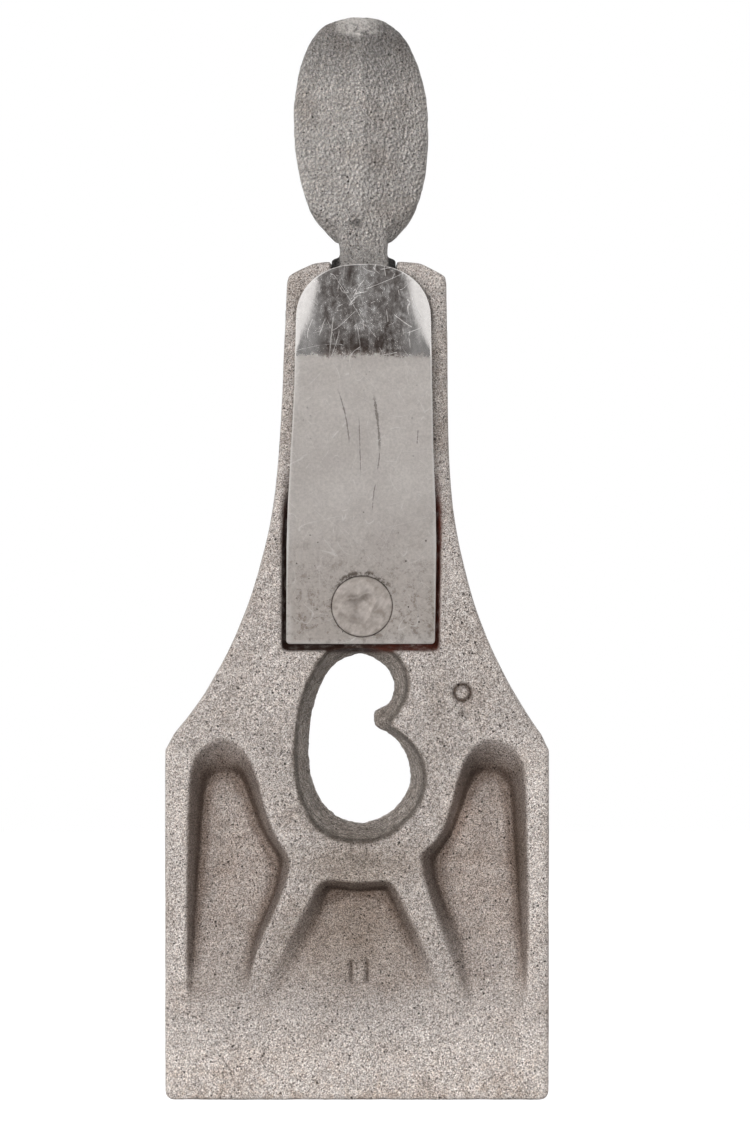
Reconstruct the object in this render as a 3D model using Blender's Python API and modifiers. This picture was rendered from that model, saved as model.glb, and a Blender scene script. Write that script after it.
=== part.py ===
"""Lever cap of a bench plane: iron casting, cam lever, pivot pin, flat spring and rivet.

Frame, in metres: Z runs up the cap from the nose to the thumb lever, X across its width,
and -Y points out of its back, the side that lies on the plane iron. The origin is at the
middle of the nose's end face. The lever is in line with the cap, which is its locked place.
"""

import math

import bmesh
import bpy
from mathutils import Matrix, Vector

MM = 0.001
GAP = 0.3 * MM                  # between neighbouring pieces

# Casting
NOSE_WIDTH = 50.0 * MM
NOSE_CORNER = 1.2 * MM
SHOULDER_CORNER = 0.8 * MM      # where the nose's sides meet the flare
NOSE_LENGTH = 45.8 * MM         # the straight-sided part
NOSE_THICKNESS = 2.6 * MM
CAP_HEIGHT = 109.3 * MM
BACK_Y = -1.3 * MM
FRONT_Y = 8.2 * MM
FRONT_SLOPE_TOP = 38.0 * MM     # where the nose's front slope meets the flat front
EAR_CORNER = 5.0 * MM           # rounding of the ears' front top edge
THROAT_Y = 4.2 * MM             # the keyhole's draft ends here

# Pockets in the back
SIDE_POCKET_FOOT = 11.5 * MM    # the floors run out to the back's surface here
SIDE_POCKET_SLOPE = 0.125
CENTRE_POCKET_FOOT = 12.0 * MM
CENTRE_POCKET_SLOPE = 0.12
POCKET_SKIN = 0.05 * MM         # keeps the floor's foot clear of the surface

# Cheeks and the slot between the ears
RAIL_START_Z = 70.0 * MM        # the back starts to fall away to the cheeks here
RAIL_END_Z = 84.0 * MM
RAIL_Y = 0.5 * MM
RAIL_BEND_Z = 96.0 * MM         # the ears fall away further above this
RAIL_BEND_Y = 0.9 * MM
RAIL_TOP_Y = 2.6 * MM
SLOT_WIDTH = 8.8 * MM
SLOT_BOTTOM = 93.0 * MM

# Spring and its recess
AXIS_X = 0.65 * MM              # the spring and its rivet sit a little to the right
PLATE_THICKNESS = 1.2 * MM
PLATE_BOTTOM = 59.3 * MM
PLATE_BEND = 97.2 * MM
PLATE_TOP = 108.8 * MM
PLATE_HALF_BOTTOM = 9.75 * MM
PLATE_HALF_TOP = 8.8 * MM
PLATE_INNER_Y = 0.1 * MM        # inner face at the plate's lower end
PLATE_TILT = math.radians(1.5)
PLATE_END_HEIGHT = 7.4 * MM     # of the half ellipse that ends the plate
PLATE_CORNER = 0.5 * MM
TIP_BEND = math.radians(10.0)
RECESS_FLOOR_Y = 0.4 * MM
RECESS_HALF = 10.6 * MM
RECESS_HALF_TOP = 10.2 * MM
RECESS_BOTTOM = 58.1 * MM

# Rivet
RIVET_Z = 64.2 * MM
RIVET_RADIUS = 3.95 * MM
SHANK_RADIUS = 2.2 * MM
HEAD_HEIGHT = 0.7 * MM

# Lever, cam and pin
PIN_Y = 4.6 * MM
PIN_Z = 101.5 * MM
PIN_RADIUS = 1.4 * MM
PIN_LENGTH = 20.4 * MM
HUB_WIDTH = 8.0 * MM
CAM_RADIUS = 4.36 * MM          # towards the spring when locked
CAM_FALL = 0.45 * MM            # radius lost per radian of lever travel
CAM_TRAVEL = math.radians(100.0)
CAM_LEAD_IN = math.radians(16.0)
CAM_RUN_OUT = math.radians(6.0)
HUB_LOW_RADIUS = 3.62 * MM      # clears the slot's bottom
NECK_HALF = 3.15 * MM
NECK_FRONT = 3.0 * MM           # the neck's faces, from the pin
NECK_BACK = -2.0 * MM
NECK_START = 5.4 * MM
NECK_TOP = 9.5 * MM
PAD_SQUARENESS = 0.72           # 1 gives elliptical sections, less gives squarer ones

# The thumb pad at its heights, in millimetres
PAD_HALF_WIDTHS = [
    (107.0, 3.15), (110.5, 3.15), (112.3, 4.3), (114.4, 6.1), (117.5, 7.5), (121.7, 8.4),
    (126.4, 8.7), (131.0, 8.4), (135.2, 7.4), (138.3, 5.85), (140.0, 4.2), (141.05, 1.6)
]
PAD_MIDDLES = [
    (107.0, 5.1), (113.0, 5.5), (121.0, 6.3), (130.0, 7.8), (137.0, 9.7), (141.05, 11.4)
]
PAD_HALF_THICKNESSES = [
    (107.0, 2.4), (113.0, 2.4), (122.0, 2.5), (132.0, 2.1), (138.0, 1.5), (141.05, 0.6)
]

CYLINDER_SIDES = 40
CUTTER_LENGTH = 40.0 * MM       # reaches right through the casting's thickness


def clear_scene():
    """Starts from an empty file."""
    for old in list(bpy.data.objects):
        bpy.data.objects.remove(old, do_unlink=True)


def new_collection(name):
    collection = bpy.data.collections.new(name)
    bpy.context.scene.collection.children.link(collection)
    return collection


def material(name, colour, roughness, metallic):
    mat = bpy.data.materials.new(name)
    mat.use_nodes = True
    shader = mat.node_tree.nodes["Principled BSDF"]
    shader.inputs["Base Color"].default_value = (*colour, 1.0)
    shader.inputs["Roughness"].default_value = roughness
    shader.inputs["Metallic"].default_value = metallic
    mat.diffuse_color = (*colour, 1.0)
    return mat


def mesh_object(name, mesh_data, collection, mat=None):
    obj = bpy.data.objects.new(name, mesh_data)
    collection.objects.link(obj)
    if mat:
        obj.data.materials.append(mat)
    return obj


def smooth(obj, angle=35.0):
    obj.data.shade_smooth()
    obj.data.set_sharp_from_angle(angle=math.radians(angle))


def curve_through(points, steps, closed=False):
    """Points of a Catmull-Rom curve through the given ones, with its spans cut in steps."""
    count = len(points)
    spans = count if closed else count - 1

    def at(index):
        return Vector(points[index % count] if closed else points[max(0, min(count - 1, index))])

    result = []
    for span in range(spans):
        a, b, c, d = (at(span + k) for k in (-1, 0, 1, 2))
        for step in range(steps):
            t = step / steps
            result.append(0.5 * (
                2 * b + (c - a) * t
                + (2 * a - 5 * b + 4 * c - d) * t ** 2
                + (3 * b - a - 3 * c + d) * t ** 3
            ))
    if not closed:
        result.append(at(count - 1))
    return [tuple(p) for p in result]


def arc(centre, radius, start, end, steps):
    """Points of an arc, its angles in degrees."""
    angles = [math.radians(start + (end - start) * k / steps) for k in range(steps + 1)]
    return [(centre[0] + radius * math.cos(a), centre[1] + radius * math.sin(a)) for a in angles]


def in_metres(points):
    return [(a * MM, b * MM) for a, b in points]


def mirrored(half):
    """A closed outline from its right half, which starts and ends beside the middle line."""
    return half + [(-x, z) for x, z in reversed(half)]


def outline_solid(name, outline, low, high):
    """A solid between low and high along local Z from a closed 2D outline."""
    data = bpy.data.curves.new(name, "CURVE")
    data.dimensions = "2D"
    data.fill_mode = "BOTH"
    data.extrude = (high - low) / 2
    spline = data.splines.new("POLY")
    spline.points.add(len(outline) - 1)
    for point, (a, b) in zip(spline.points, outline):
        point.co = (a, b, 0.0, 1.0)
    spline.use_cyclic_u = True
    guide = bpy.data.objects.new(name + "_outline", data)
    bpy.context.scene.collection.objects.link(guide)
    evaluated = guide.evaluated_get(bpy.context.evaluated_depsgraph_get())
    mesh_data = bpy.data.meshes.new_from_object(evaluated)
    bpy.data.objects.remove(guide, do_unlink=True)
    mesh_data.name = name
    mesh_data.transform(Matrix.Translation((0.0, 0.0, (high + low) / 2)))
    bm = bmesh.new()
    bm.from_mesh(mesh_data)
    bmesh.ops.remove_doubles(bm, verts=bm.verts, dist=1e-7)
    bmesh.ops.recalc_face_normals(bm, faces=bm.faces)
    bm.to_mesh(mesh_data)
    bm.free()
    return mesh_data


def face_plan(mesh_data):
    """Turns an outline drawn in X and Z to stand in the XZ plane, its depth along +Y."""
    mesh_data.transform(Matrix(((1, 0, 0, 0), (0, 0, 1, 0), (0, 1, 0, 0), (0, 0, 0, 1))))
    mesh_data.flip_normals()
    return mesh_data


def side_plan(mesh_data):
    """Turns an outline drawn in Y and Z to stand in the YZ plane, its depth along X."""
    mesh_data.transform(Matrix(((0, 0, 1, 0), (1, 0, 0, 0), (0, 1, 0, 0), (0, 0, 0, 1))))
    return mesh_data


def loft(name, rings):
    """A closed solid through rings of equally many points."""
    bm = bmesh.new()
    loops = [[bm.verts.new(p) for p in ring] for ring in rings]
    count = len(loops[0])
    for lower, upper in zip(loops, loops[1:]):
        for k in range(count):
            n = (k + 1) % count
            bm.faces.new((lower[k], lower[n], upper[n], upper[k]))
    bm.faces.new(list(reversed(loops[0])))
    bm.faces.new(loops[-1])
    bmesh.ops.recalc_face_normals(bm, faces=bm.faces)
    mesh_data = bpy.data.meshes.new(name)
    bm.to_mesh(mesh_data)
    bm.free()
    return mesh_data


def cylinder(name, radius, length, collection, mat=None):
    """A cylinder along local Z about its own origin."""
    bm = bmesh.new()
    bmesh.ops.create_cone(
        bm, cap_ends=True, segments=CYLINDER_SIDES, radius1=radius, radius2=radius, depth=length
    )
    mesh_data = bpy.data.meshes.new(name)
    bm.to_mesh(mesh_data)
    bm.free()
    return mesh_object(name, mesh_data, collection, mat)


def boolean(obj, other, operation="DIFFERENCE"):
    other.hide_render = True
    other.display_type = "WIRE"
    modifier = obj.modifiers.new(other.name, "BOOLEAN")
    modifier.operation = operation
    modifier.solver = "EXACT"
    modifier.object = other


def cap_outline():
    """The casting's outline: straight nose, concave flare, slim cheeks and rounded top."""
    half = NOSE_WIDTH / 2 / MM
    shoulder = NOSE_LENGTH / MM
    corner = NOSE_CORNER / MM
    bend = SHOULDER_CORNER / MM
    right = [(half - corner, 0.0)]
    right += arc((half - corner, corner), corner, -60, 0, 3)
    right += arc((half - bend, shoulder - 0.5), bend, 0, 50, 3)
    right += curve_through(
        [(22.6, 49.4), (18.85, 55.25), (15.3, 63.05), (12.95, 70.85), (11.5, 78.65),
         (10.9, 88.4), (10.6, 102.0)], 3
    )
    right += [(10.35, 105.6), (9.6, 108.0), (6.3, 109.1), (4.0, CAP_HEIGHT / MM)]
    return in_metres(mirrored(right))


def keyhole(collection):
    """The cap screw's keyhole, wide at the back and narrowing on a draft towards the front."""
    opening = [
        (0.5, 58.1), (3.6, 56.9), (4.9, 53.6), (3.9, 51.3), (2.4, 50.2), (2.3, 48.9), (3.7, 48.1),
        (5.3, 46.7), (6.7, 43.6), (6.7, 40.5), (4.3, 37.3), (0.5, 36.0), (-2.8, 36.7),
        (-5.5, 39.6), (-6.4, 44.2), (-6.1, 49.7), (-4.8, 54.4), (-2.2, 57.3)
    ]
    rim = [
        (0.3, 59.0), (4.9, 58.0), (6.9, 54.0), (5.8, 50.9), (4.7, 49.6), (4.5, 48.4), (5.5, 47.6),
        (7.5, 45.6), (8.9, 42.0), (8.1, 38.5), (4.6, 34.8), (0.5, 33.5), (-3.6, 34.6),
        (-7.0, 38.2), (-8.4, 43.6), (-8.1, 49.7), (-6.4, 55.0), (-3.2, 58.2)
    ]
    steps = 2
    inner = curve_through(in_metres(opening), steps, closed=True)
    outer = curve_through(in_metres(rim), steps, closed=True)
    beyond = 2.0 * MM
    lip = 0.4 * MM
    stations = [
        (BACK_Y - beyond, outer),
        (BACK_Y + lip, outer),
        (THROAT_Y, inner),
        (FRONT_Y + beyond, inner),
    ]
    rings = [[(x, y, z) for x, z in outline] for y, outline in stations]
    return mesh_object("keyhole", loft("keyhole", rings), collection)


def pocket(name, rim, floor, fade_z, slope, collection, side=1):
    """A cast pocket: its floor slopes from nothing at fade_z, and its walls draft inwards."""
    above = BACK_Y - 2.0 * MM

    def ring(outline, depth_share):
        points = []
        for x, z in curve_through(in_metres(outline), 2, closed=True):
            depth = depth_share * max(0.0, z - fade_z) * slope - POCKET_SKIN
            points.append((side * x, BACK_Y + depth, z))
        return points

    top = [(x, above, z) for x, _, z in ring(rim, 0.0)]
    return mesh_object(name, loft(name, [top, ring(rim, 0.0), ring(floor, 1.0)]), collection)


def side_pocket(name, side, collection):
    rim = [
        (21.6, 12.0), (21.7, 24.0), (21.7, 40.0), (20.9, 45.6), (18.1, 46.9), (15.0, 45.9),
        (13.4, 42.8), (12.1, 37.5), (9.9, 33.8), (9.0, 31.2), (9.9, 26.8), (12.4, 20.0),
        (15.2, 13.0)
    ]
    floor = [
        (20.9, 12.4), (20.8, 24.0), (20.3, 38.0), (19.3, 41.6), (17.4, 42.9), (15.6, 41.6),
        (14.4, 38.6), (12.9, 35.0), (11.3, 32.4), (10.7, 30.4), (11.2, 27.0), (13.2, 21.0),
        (15.8, 13.4)
    ]
    return pocket(name, rim, floor, SIDE_POCKET_FOOT, SIDE_POCKET_SLOPE, collection, side)


def centre_pocket(collection):
    rim = [
        (-8.0, 12.6), (-10.4, 15.6), (-8.3, 21.0), (-5.6, 27.2), (-3.4, 28.4), (3.2, 28.4),
        (5.0, 27.2), (7.4, 21.0), (9.2, 15.6), (6.8, 12.6)
    ]
    floor = [
        (-7.2, 12.8), (-9.2, 15.8), (-7.2, 20.8), (-4.9, 26.2), (-3.1, 27.2), (2.9, 27.2),
        (4.3, 26.2), (6.3, 20.8), (8.0, 15.8), (6.2, 12.8)
    ]
    foot = CENTRE_POCKET_FOOT
    return pocket("centre_pocket", rim, floor, foot, CENTRE_POCKET_SLOPE, collection)


def front_slope(collection):
    """What is cut off the front so that the nose thins to its end face."""
    nose_front = BACK_Y + NOSE_THICKNESS
    rise = (FRONT_Y - nose_front) / FRONT_SLOPE_TOP
    beyond = 5.0 * MM
    outline = [
        (nose_front - beyond * rise, -beyond),
        (FRONT_Y + beyond, -beyond),
        (FRONT_Y + beyond, FRONT_SLOPE_TOP + beyond / rise),
    ]
    data = side_plan(outline_solid("front_slope", outline, -NOSE_WIDTH, NOSE_WIDTH))
    return mesh_object("front_slope", data, collection)


def ear_rounding(collection):
    """What is cut off the front of the ears so that they end round about the pin."""
    centre = (FRONT_Y - EAR_CORNER, CAP_HEIGHT - EAR_CORNER)
    outline = arc(centre, EAR_CORNER, 0, 90, 8)
    outline.append((centre[0], CAP_HEIGHT + EAR_CORNER))
    outline.append((FRONT_Y + EAR_CORNER, CAP_HEIGHT + EAR_CORNER))
    outline.append((FRONT_Y + EAR_CORNER, centre[1]))
    data = side_plan(outline_solid("ear_rounding", outline, -NOSE_WIDTH, NOSE_WIDTH))
    return mesh_object("ear_rounding", data, collection)


def cheek_fall(collection):
    """What is cut off the back so that the cheeks fall away below the spring."""
    beyond = 2.0 * MM
    outside_y = BACK_Y - beyond
    outline = [
        (BACK_Y - 0.01 * MM, RAIL_START_Z),
        (RAIL_Y, RAIL_END_Z),
        (RAIL_BEND_Y, RAIL_BEND_Z),
        (RAIL_TOP_Y, CAP_HEIGHT),
        (RAIL_TOP_Y, CAP_HEIGHT + beyond),
        (outside_y, CAP_HEIGHT + beyond),
        (outside_y, RAIL_START_Z),
    ]
    data = side_plan(outline_solid("cheek_fall", outline, -NOSE_WIDTH, NOSE_WIDTH))
    return mesh_object("cheek_fall", data, collection)


def spring_recess(collection):
    """The shallow recess that holds the spring's lower end."""
    top_z = RAIL_END_Z + 0.2 * MM
    beyond = 4.0 * MM
    outline = [
        (AXIS_X - RECESS_HALF, RECESS_BOTTOM),
        (AXIS_X + RECESS_HALF, RECESS_BOTTOM),
        (AXIS_X / 2 + RECESS_HALF_TOP, top_z),
        (AXIS_X / 2 - RECESS_HALF_TOP, top_z),
    ]
    data = face_plan(outline_solid("spring_recess", outline, BACK_Y - beyond, RECESS_FLOOR_Y))
    return mesh_object("spring_recess", data, collection)


def ear_slot(collection):
    """The slot that parts the ears, with a round lower end."""
    half = SLOT_WIDTH / 2
    beyond = 5.0 * MM
    outline = [(half, CAP_HEIGHT + beyond), (-half, CAP_HEIGHT + beyond)]
    outline += arc((0.0, SLOT_BOTTOM + half), half, 180, 360, 10)
    data = face_plan(outline_solid("ear_slot", outline, BACK_Y - beyond, FRONT_Y + beyond))
    return mesh_object("ear_slot", data, collection)


def bore_along_x(name, radius, collection):
    cutter = cylinder(name, radius, NOSE_WIDTH, collection)
    cutter.location = (0.0, PIN_Y, PIN_Z)
    cutter.rotation_euler = (0.0, math.pi / 2, 0.0)
    return cutter


def bore_along_y(name, radius, z, collection):
    cutter = cylinder(name, radius, CUTTER_LENGTH, collection)
    cutter.location = (AXIS_X, 0.0, z)
    cutter.rotation_euler = (math.pi / 2, 0.0, 0.0)
    return cutter


def lever_cap(parts, cutters):
    """The casting with its keyhole, pockets, recess, slot and bores."""
    data = face_plan(outline_solid("lever_cap", cap_outline(), BACK_Y, FRONT_Y))
    iron = material("cast_iron", (0.36, 0.34, 0.33), 0.6, 0.7)
    cap = mesh_object("lever_cap", data, parts, iron)
    removals = [
        front_slope(cutters),
        cheek_fall(cutters),
        ear_rounding(cutters),
        keyhole(cutters),
        side_pocket("left_pocket", -1, cutters),
        side_pocket("right_pocket", 1, cutters),
        centre_pocket(cutters),
        spring_recess(cutters),
        ear_slot(cutters),
        bore_along_x("ear_bore", PIN_RADIUS + GAP, cutters),
        bore_along_y("rivet_bore", SHANK_RADIUS + GAP, RIVET_Z, cutters),
    ]
    for cutter in removals:
        boolean(cap, cutter)
    smooth(cap)


def plate_inner_y(z):
    """The spring's inner face: a slight tilt, then the bent tip."""
    y = PLATE_INNER_Y - (min(z, PLATE_BEND) - PLATE_BOTTOM) * math.tan(PLATE_TILT)
    return y + max(0.0, z - PLATE_BEND) * math.tan(TIP_BEND)


def plate_outline():
    """The spring seen square-on: it tapers upwards and ends in a half ellipse."""
    straight_top = PLATE_TOP - PLATE_END_HEIGHT
    right = [
        (PLATE_HALF_BOTTOM - PLATE_CORNER, PLATE_BOTTOM),
        (PLATE_HALF_BOTTOM, PLATE_BOTTOM + PLATE_CORNER),
    ]
    rows = 8
    for k in range(1, rows):
        share = k / rows
        half = PLATE_HALF_BOTTOM + (PLATE_HALF_TOP - PLATE_HALF_BOTTOM) * share
        right.append((half, PLATE_BOTTOM + (straight_top - PLATE_BOTTOM) * share))
    steps = 14
    for k in range(steps):
        angle = math.pi / 2 * k / steps
        rise = PLATE_END_HEIGHT * math.sin(angle)
        right.append((PLATE_HALF_TOP * math.cos(angle), straight_top + rise))
    return [(AXIS_X + x, z) for x, z in mirrored(right)]


def spring_plate(parts, cutters):
    """The flat spring, its origin at the rivet, about which it flexes."""
    data = face_plan(outline_solid("spring_plate", plate_outline(), -PLATE_THICKNESS, 0.0))
    bm = bmesh.new()
    bm.from_mesh(data)
    everything = list(bm.verts) + list(bm.edges) + list(bm.faces)
    bmesh.ops.bisect_plane(
        bm, geom=everything, dist=1e-7, plane_co=(0.0, 0.0, PLATE_BEND), plane_no=(0.0, 0.0, 1.0)
    )
    bmesh.ops.triangulate(bm, faces=bm.faces)
    for vert in bm.verts:
        vert.co.y += plate_inner_y(vert.co.z)
    bm.to_mesh(data)
    bm.free()
    pivot = Vector((0.0, PLATE_INNER_Y - PLATE_THICKNESS / 2, RIVET_Z))
    data.transform(Matrix.Translation(-pivot))
    steel = material("spring_steel", (0.5, 0.48, 0.45), 0.35, 0.9)
    plate = mesh_object("spring_plate", data, parts, steel)
    plate.location = pivot
    boolean(plate, bore_along_y("plate_shank_hole", SHANK_RADIUS + GAP, RIVET_Z, cutters))
    seat_length = 3.0 * MM
    head_seat = cylinder("plate_head_seat", RIVET_RADIUS + GAP / 2, seat_length, cutters)
    seat_y = plate_inner_y(RIVET_Z) - PLATE_THICKNESS + HEAD_HEIGHT + GAP
    head_seat.location = (AXIS_X, seat_y - seat_length / 2, RIVET_Z)
    head_seat.rotation_euler = (math.pi / 2, 0.0, 0.0)
    boolean(plate, head_seat)
    smooth(plate)


def spring_rivet(parts):
    """A turned rivet along Y: flush head in the spring, shank dressed flush with the front."""
    head_y = plate_inner_y(RIVET_Z) - PLATE_THICKNESS
    length = FRONT_Y - head_y
    profile = [
        (0.0, length),
        (RIVET_RADIUS, length),
        (RIVET_RADIUS, length - HEAD_HEIGHT),
        (SHANK_RADIUS, length - HEAD_HEIGHT),
        (SHANK_RADIUS, 0.0),
        (0.0, 0.0),
    ]
    data = bpy.data.meshes.new("spring_rivet")
    edges = [(k, k + 1) for k in range(len(profile) - 1)]
    data.from_pydata([(r, 0.0, h) for r, h in profile], edges, [])
    steel = material("rivet_steel", (0.45, 0.42, 0.4), 0.4, 0.9)
    rivet = mesh_object("spring_rivet", data, parts, steel)
    turn = rivet.modifiers.new("turn", "SCREW")
    turn.steps = CYLINDER_SIDES
    turn.render_steps = CYLINDER_SIDES
    turn.use_merge_vertices = True
    turn.merge_threshold = 0.00001
    rivet.location = (AXIS_X, FRONT_Y, RIVET_Z)
    rivet.rotation_euler = (math.pi / 2, 0.0, 0.0)
    smooth(rivet)


def lever_pin(parts):
    """The pivot pin along X through both ears and the hub."""
    steel = material("pin_steel", (0.4, 0.39, 0.38), 0.4, 0.9)
    pin = cylinder("lever_pin", PIN_RADIUS, PIN_LENGTH, parts, steel)
    pin.location = (0.0, PIN_Y, PIN_Z)
    pin.rotation_euler = (0.0, math.pi / 2, 0.0)
    smooth(pin)


def cam_outline():
    """Hub and neck from the side, about the pin: a cam whose radius falls evenly as it opens."""
    points = []
    steps = 22
    sweep = CAM_LEAD_IN + CAM_TRAVEL + CAM_RUN_OUT
    for k in range(steps + 1):
        turn = sweep * k / steps - CAM_LEAD_IN
        reach = CAM_RADIUS - CAM_FALL * turn
        angle = TIP_BEND - turn
        y = -reach * math.cos(angle) + CAM_FALL * math.sin(angle)
        z = reach * math.sin(angle) + CAM_FALL * math.cos(angle)
        points.append((y, z))
    points += arc((0.0, 0.0), HUB_LOW_RADIUS, -80, 15, 9)
    points += [(NECK_FRONT, 4.5 * MM), (NECK_FRONT, NECK_TOP), (NECK_BACK, NECK_TOP)]
    points.append((NECK_BACK - 0.6 * MM, NECK_START))
    return points


def value_at(height, table):
    """A value from pairs of height and value, straight between them, in metres."""
    for (z0, v0), (z1, v1) in zip(table, table[1:]):
        if height <= z1:
            share = (height - z0) / (z1 - z0)
            return (v0 + (v1 - v0) * share) * MM
    return table[-1][1] * MM


def lever_pad():
    """Neck and pad, lofted through rounded sections with a flatter front for the thumb."""
    heights = [107.0, 109.0, 110.5, 111.4, 112.3, 113.3, 114.4, 115.9, 117.5, 119.6, 121.7, 124.0]
    heights += [126.4, 128.7, 131.0, 133.1, 135.2, 136.8, 138.3, 139.2, 140.0, 140.6, 141.05]
    sides = 28
    rings = []
    for height in heights:
        width = value_at(height, PAD_HALF_WIDTHS)
        half = value_at(height, PAD_HALF_THICKNESSES)
        middle = value_at(height, PAD_MIDDLES)
        ring = []
        for k in range(sides):
            angle = 2 * math.pi * k / sides
            c = math.cos(angle)
            s = math.sin(angle)
            x = width * math.copysign(abs(c) ** PAD_SQUARENESS, c)
            y = half * math.copysign(abs(s) ** PAD_SQUARENESS, s)
            ring.append((x, middle + y, height * MM))
        rings.append(ring)
    return loft("lever_pad", rings)


def cam_lever(parts, cutters):
    """The lever, its origin on the pin: hub with cam, neck and oval thumb pad."""
    data = side_plan(outline_solid("cam_lever", cam_outline(), -HUB_WIDTH / 2, HUB_WIDTH / 2))
    iron = material("lever_iron", (0.34, 0.33, 0.32), 0.55, 0.75)
    lever = mesh_object("cam_lever", data, parts, iron)
    lever.location = (0.0, PIN_Y, PIN_Z)
    boolean(lever, neck_relief(cutters))
    pad = mesh_object("lever_pad", lever_pad(), cutters)
    boolean(lever, pad, "UNION")
    boolean(lever, bore_along_x("hub_bore", PIN_RADIUS + GAP, cutters))
    smooth(lever, 40.0)


def neck_relief(collection):
    """What is cut off the hub's sides so that the neck is slimmer than the hub."""
    reach = 20.0 * MM
    top = PIN_Z + reach
    start = PIN_Z + NECK_START
    outline = [
        (NECK_HALF, start + 1.0 * MM),
        (reach, start - 1.5 * MM),
        (reach, top),
        (NECK_HALF, top),
    ]
    right = face_plan(outline_solid("neck_relief", outline, -reach, reach))
    relief = mesh_object("neck_relief", right, collection)
    mirror = relief.modifiers.new("mirror", "MIRROR")
    mirror.merge_threshold = 0.0001
    return relief


def main():
    clear_scene()
    parts = new_collection("bench_plane_lever_cap")
    cutters = new_collection("cutters")
    lever_cap(parts, cutters)
    cam_lever(parts, cutters)
    lever_pin(parts)
    spring_plate(parts, cutters)
    spring_rivet(parts)


main()
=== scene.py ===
"""The finished look of a bench plane lever cap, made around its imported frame.

Z runs up the cap from the nose to the thumb lever, X across it, and -Y out of its back.
Shapes are worked out in millimetres and their meshes are written in metres.
"""

import math

import bmesh
import bpy
import numpy as np
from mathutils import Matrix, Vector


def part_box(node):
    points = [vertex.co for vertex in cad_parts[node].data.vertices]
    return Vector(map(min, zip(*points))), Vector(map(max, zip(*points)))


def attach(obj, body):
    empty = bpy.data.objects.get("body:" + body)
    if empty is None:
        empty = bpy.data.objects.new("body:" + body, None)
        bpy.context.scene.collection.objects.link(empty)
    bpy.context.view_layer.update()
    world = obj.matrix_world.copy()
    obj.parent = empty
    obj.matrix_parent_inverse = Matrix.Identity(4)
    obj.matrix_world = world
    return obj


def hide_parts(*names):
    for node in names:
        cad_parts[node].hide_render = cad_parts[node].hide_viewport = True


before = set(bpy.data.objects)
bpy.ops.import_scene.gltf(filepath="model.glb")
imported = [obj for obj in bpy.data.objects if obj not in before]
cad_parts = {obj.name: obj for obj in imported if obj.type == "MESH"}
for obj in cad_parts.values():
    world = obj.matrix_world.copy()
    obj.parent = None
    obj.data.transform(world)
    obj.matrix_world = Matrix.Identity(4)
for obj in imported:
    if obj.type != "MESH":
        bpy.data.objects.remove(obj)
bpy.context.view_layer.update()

import openvdb
from mathutils import Vector

MM = 0.001


def in_mm(corner):
    return [value / MM for value in corner]


# Sizes that the frame gives, in millimetres
CAP_LOW, CAP_HIGH = (in_mm(c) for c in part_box("lever_cap"))
PLATE_LOW, PLATE_HIGH = (in_mm(c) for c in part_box("spring_plate"))
RIVET_LOW, RIVET_HIGH = (in_mm(c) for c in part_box("spring_rivet"))
LEVER_LOW, LEVER_HIGH = (in_mm(c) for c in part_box("cam_lever"))
PIN_LOW, PIN_HIGH = (in_mm(c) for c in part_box("lever_pin"))

BACK = CAP_LOW[1]
FRONT = CAP_HIGH[1]
HALF_WIDTH = CAP_HIGH[0]
CAP_TOP = CAP_HIGH[2]
AXIS_X = (RIVET_LOW[0] + RIVET_HIGH[0]) / 2
RIVET_Z = (RIVET_LOW[2] + RIVET_HIGH[2]) / 2
RIVET_RADIUS = (RIVET_HIGH[0] - RIVET_LOW[0]) / 2
PIN_Y = (PIN_LOW[1] + PIN_HIGH[1]) / 2
PIN_Z = (PIN_LOW[2] + PIN_HIGH[2]) / 2
PIN_RADIUS = (PIN_HIGH[2] - PIN_LOW[2]) / 2
LEVER_TOP = LEVER_HIGH[2]

# Sizes of the finished shapes, in millimetres
GRID = 0.26             # spacing of the points that the castings are meshed from
MARGIN = 1              # empty border round those points
NOSE_EDGE = 2.6         # the casting's thickness at its nose
NOSE_LENGTH = 38        # how far up the front slopes
RAIL_FALL = 1.8         # how far the rails beside the spring lie below the back
RECESS_FLOOR = 0.4      # where the spring lies, in Y
MARK_DEPTH = 0.4
PLATE_THICK = 1.2
SPRING_SWING = math.radians(1.25)
SLOT_MIDDLE = 0.88      # the slot between the ears, which leans with them
SLOT_HALF = 4.12
EAR_DRAFT = 0.15
HUB_HALF = 4.03         # the lever's cam hub
CAM_REACH = 4.36
FLANK_HALF = 2.95       # where the lever's neck flares into the pad
FLANK_Z = 114.1

# Strengths of the surround
AMBIENT = 0.13
FRONT_GLOSS = 0.75


# ---------------------------------------------------------------- shapes in a block of points

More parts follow.
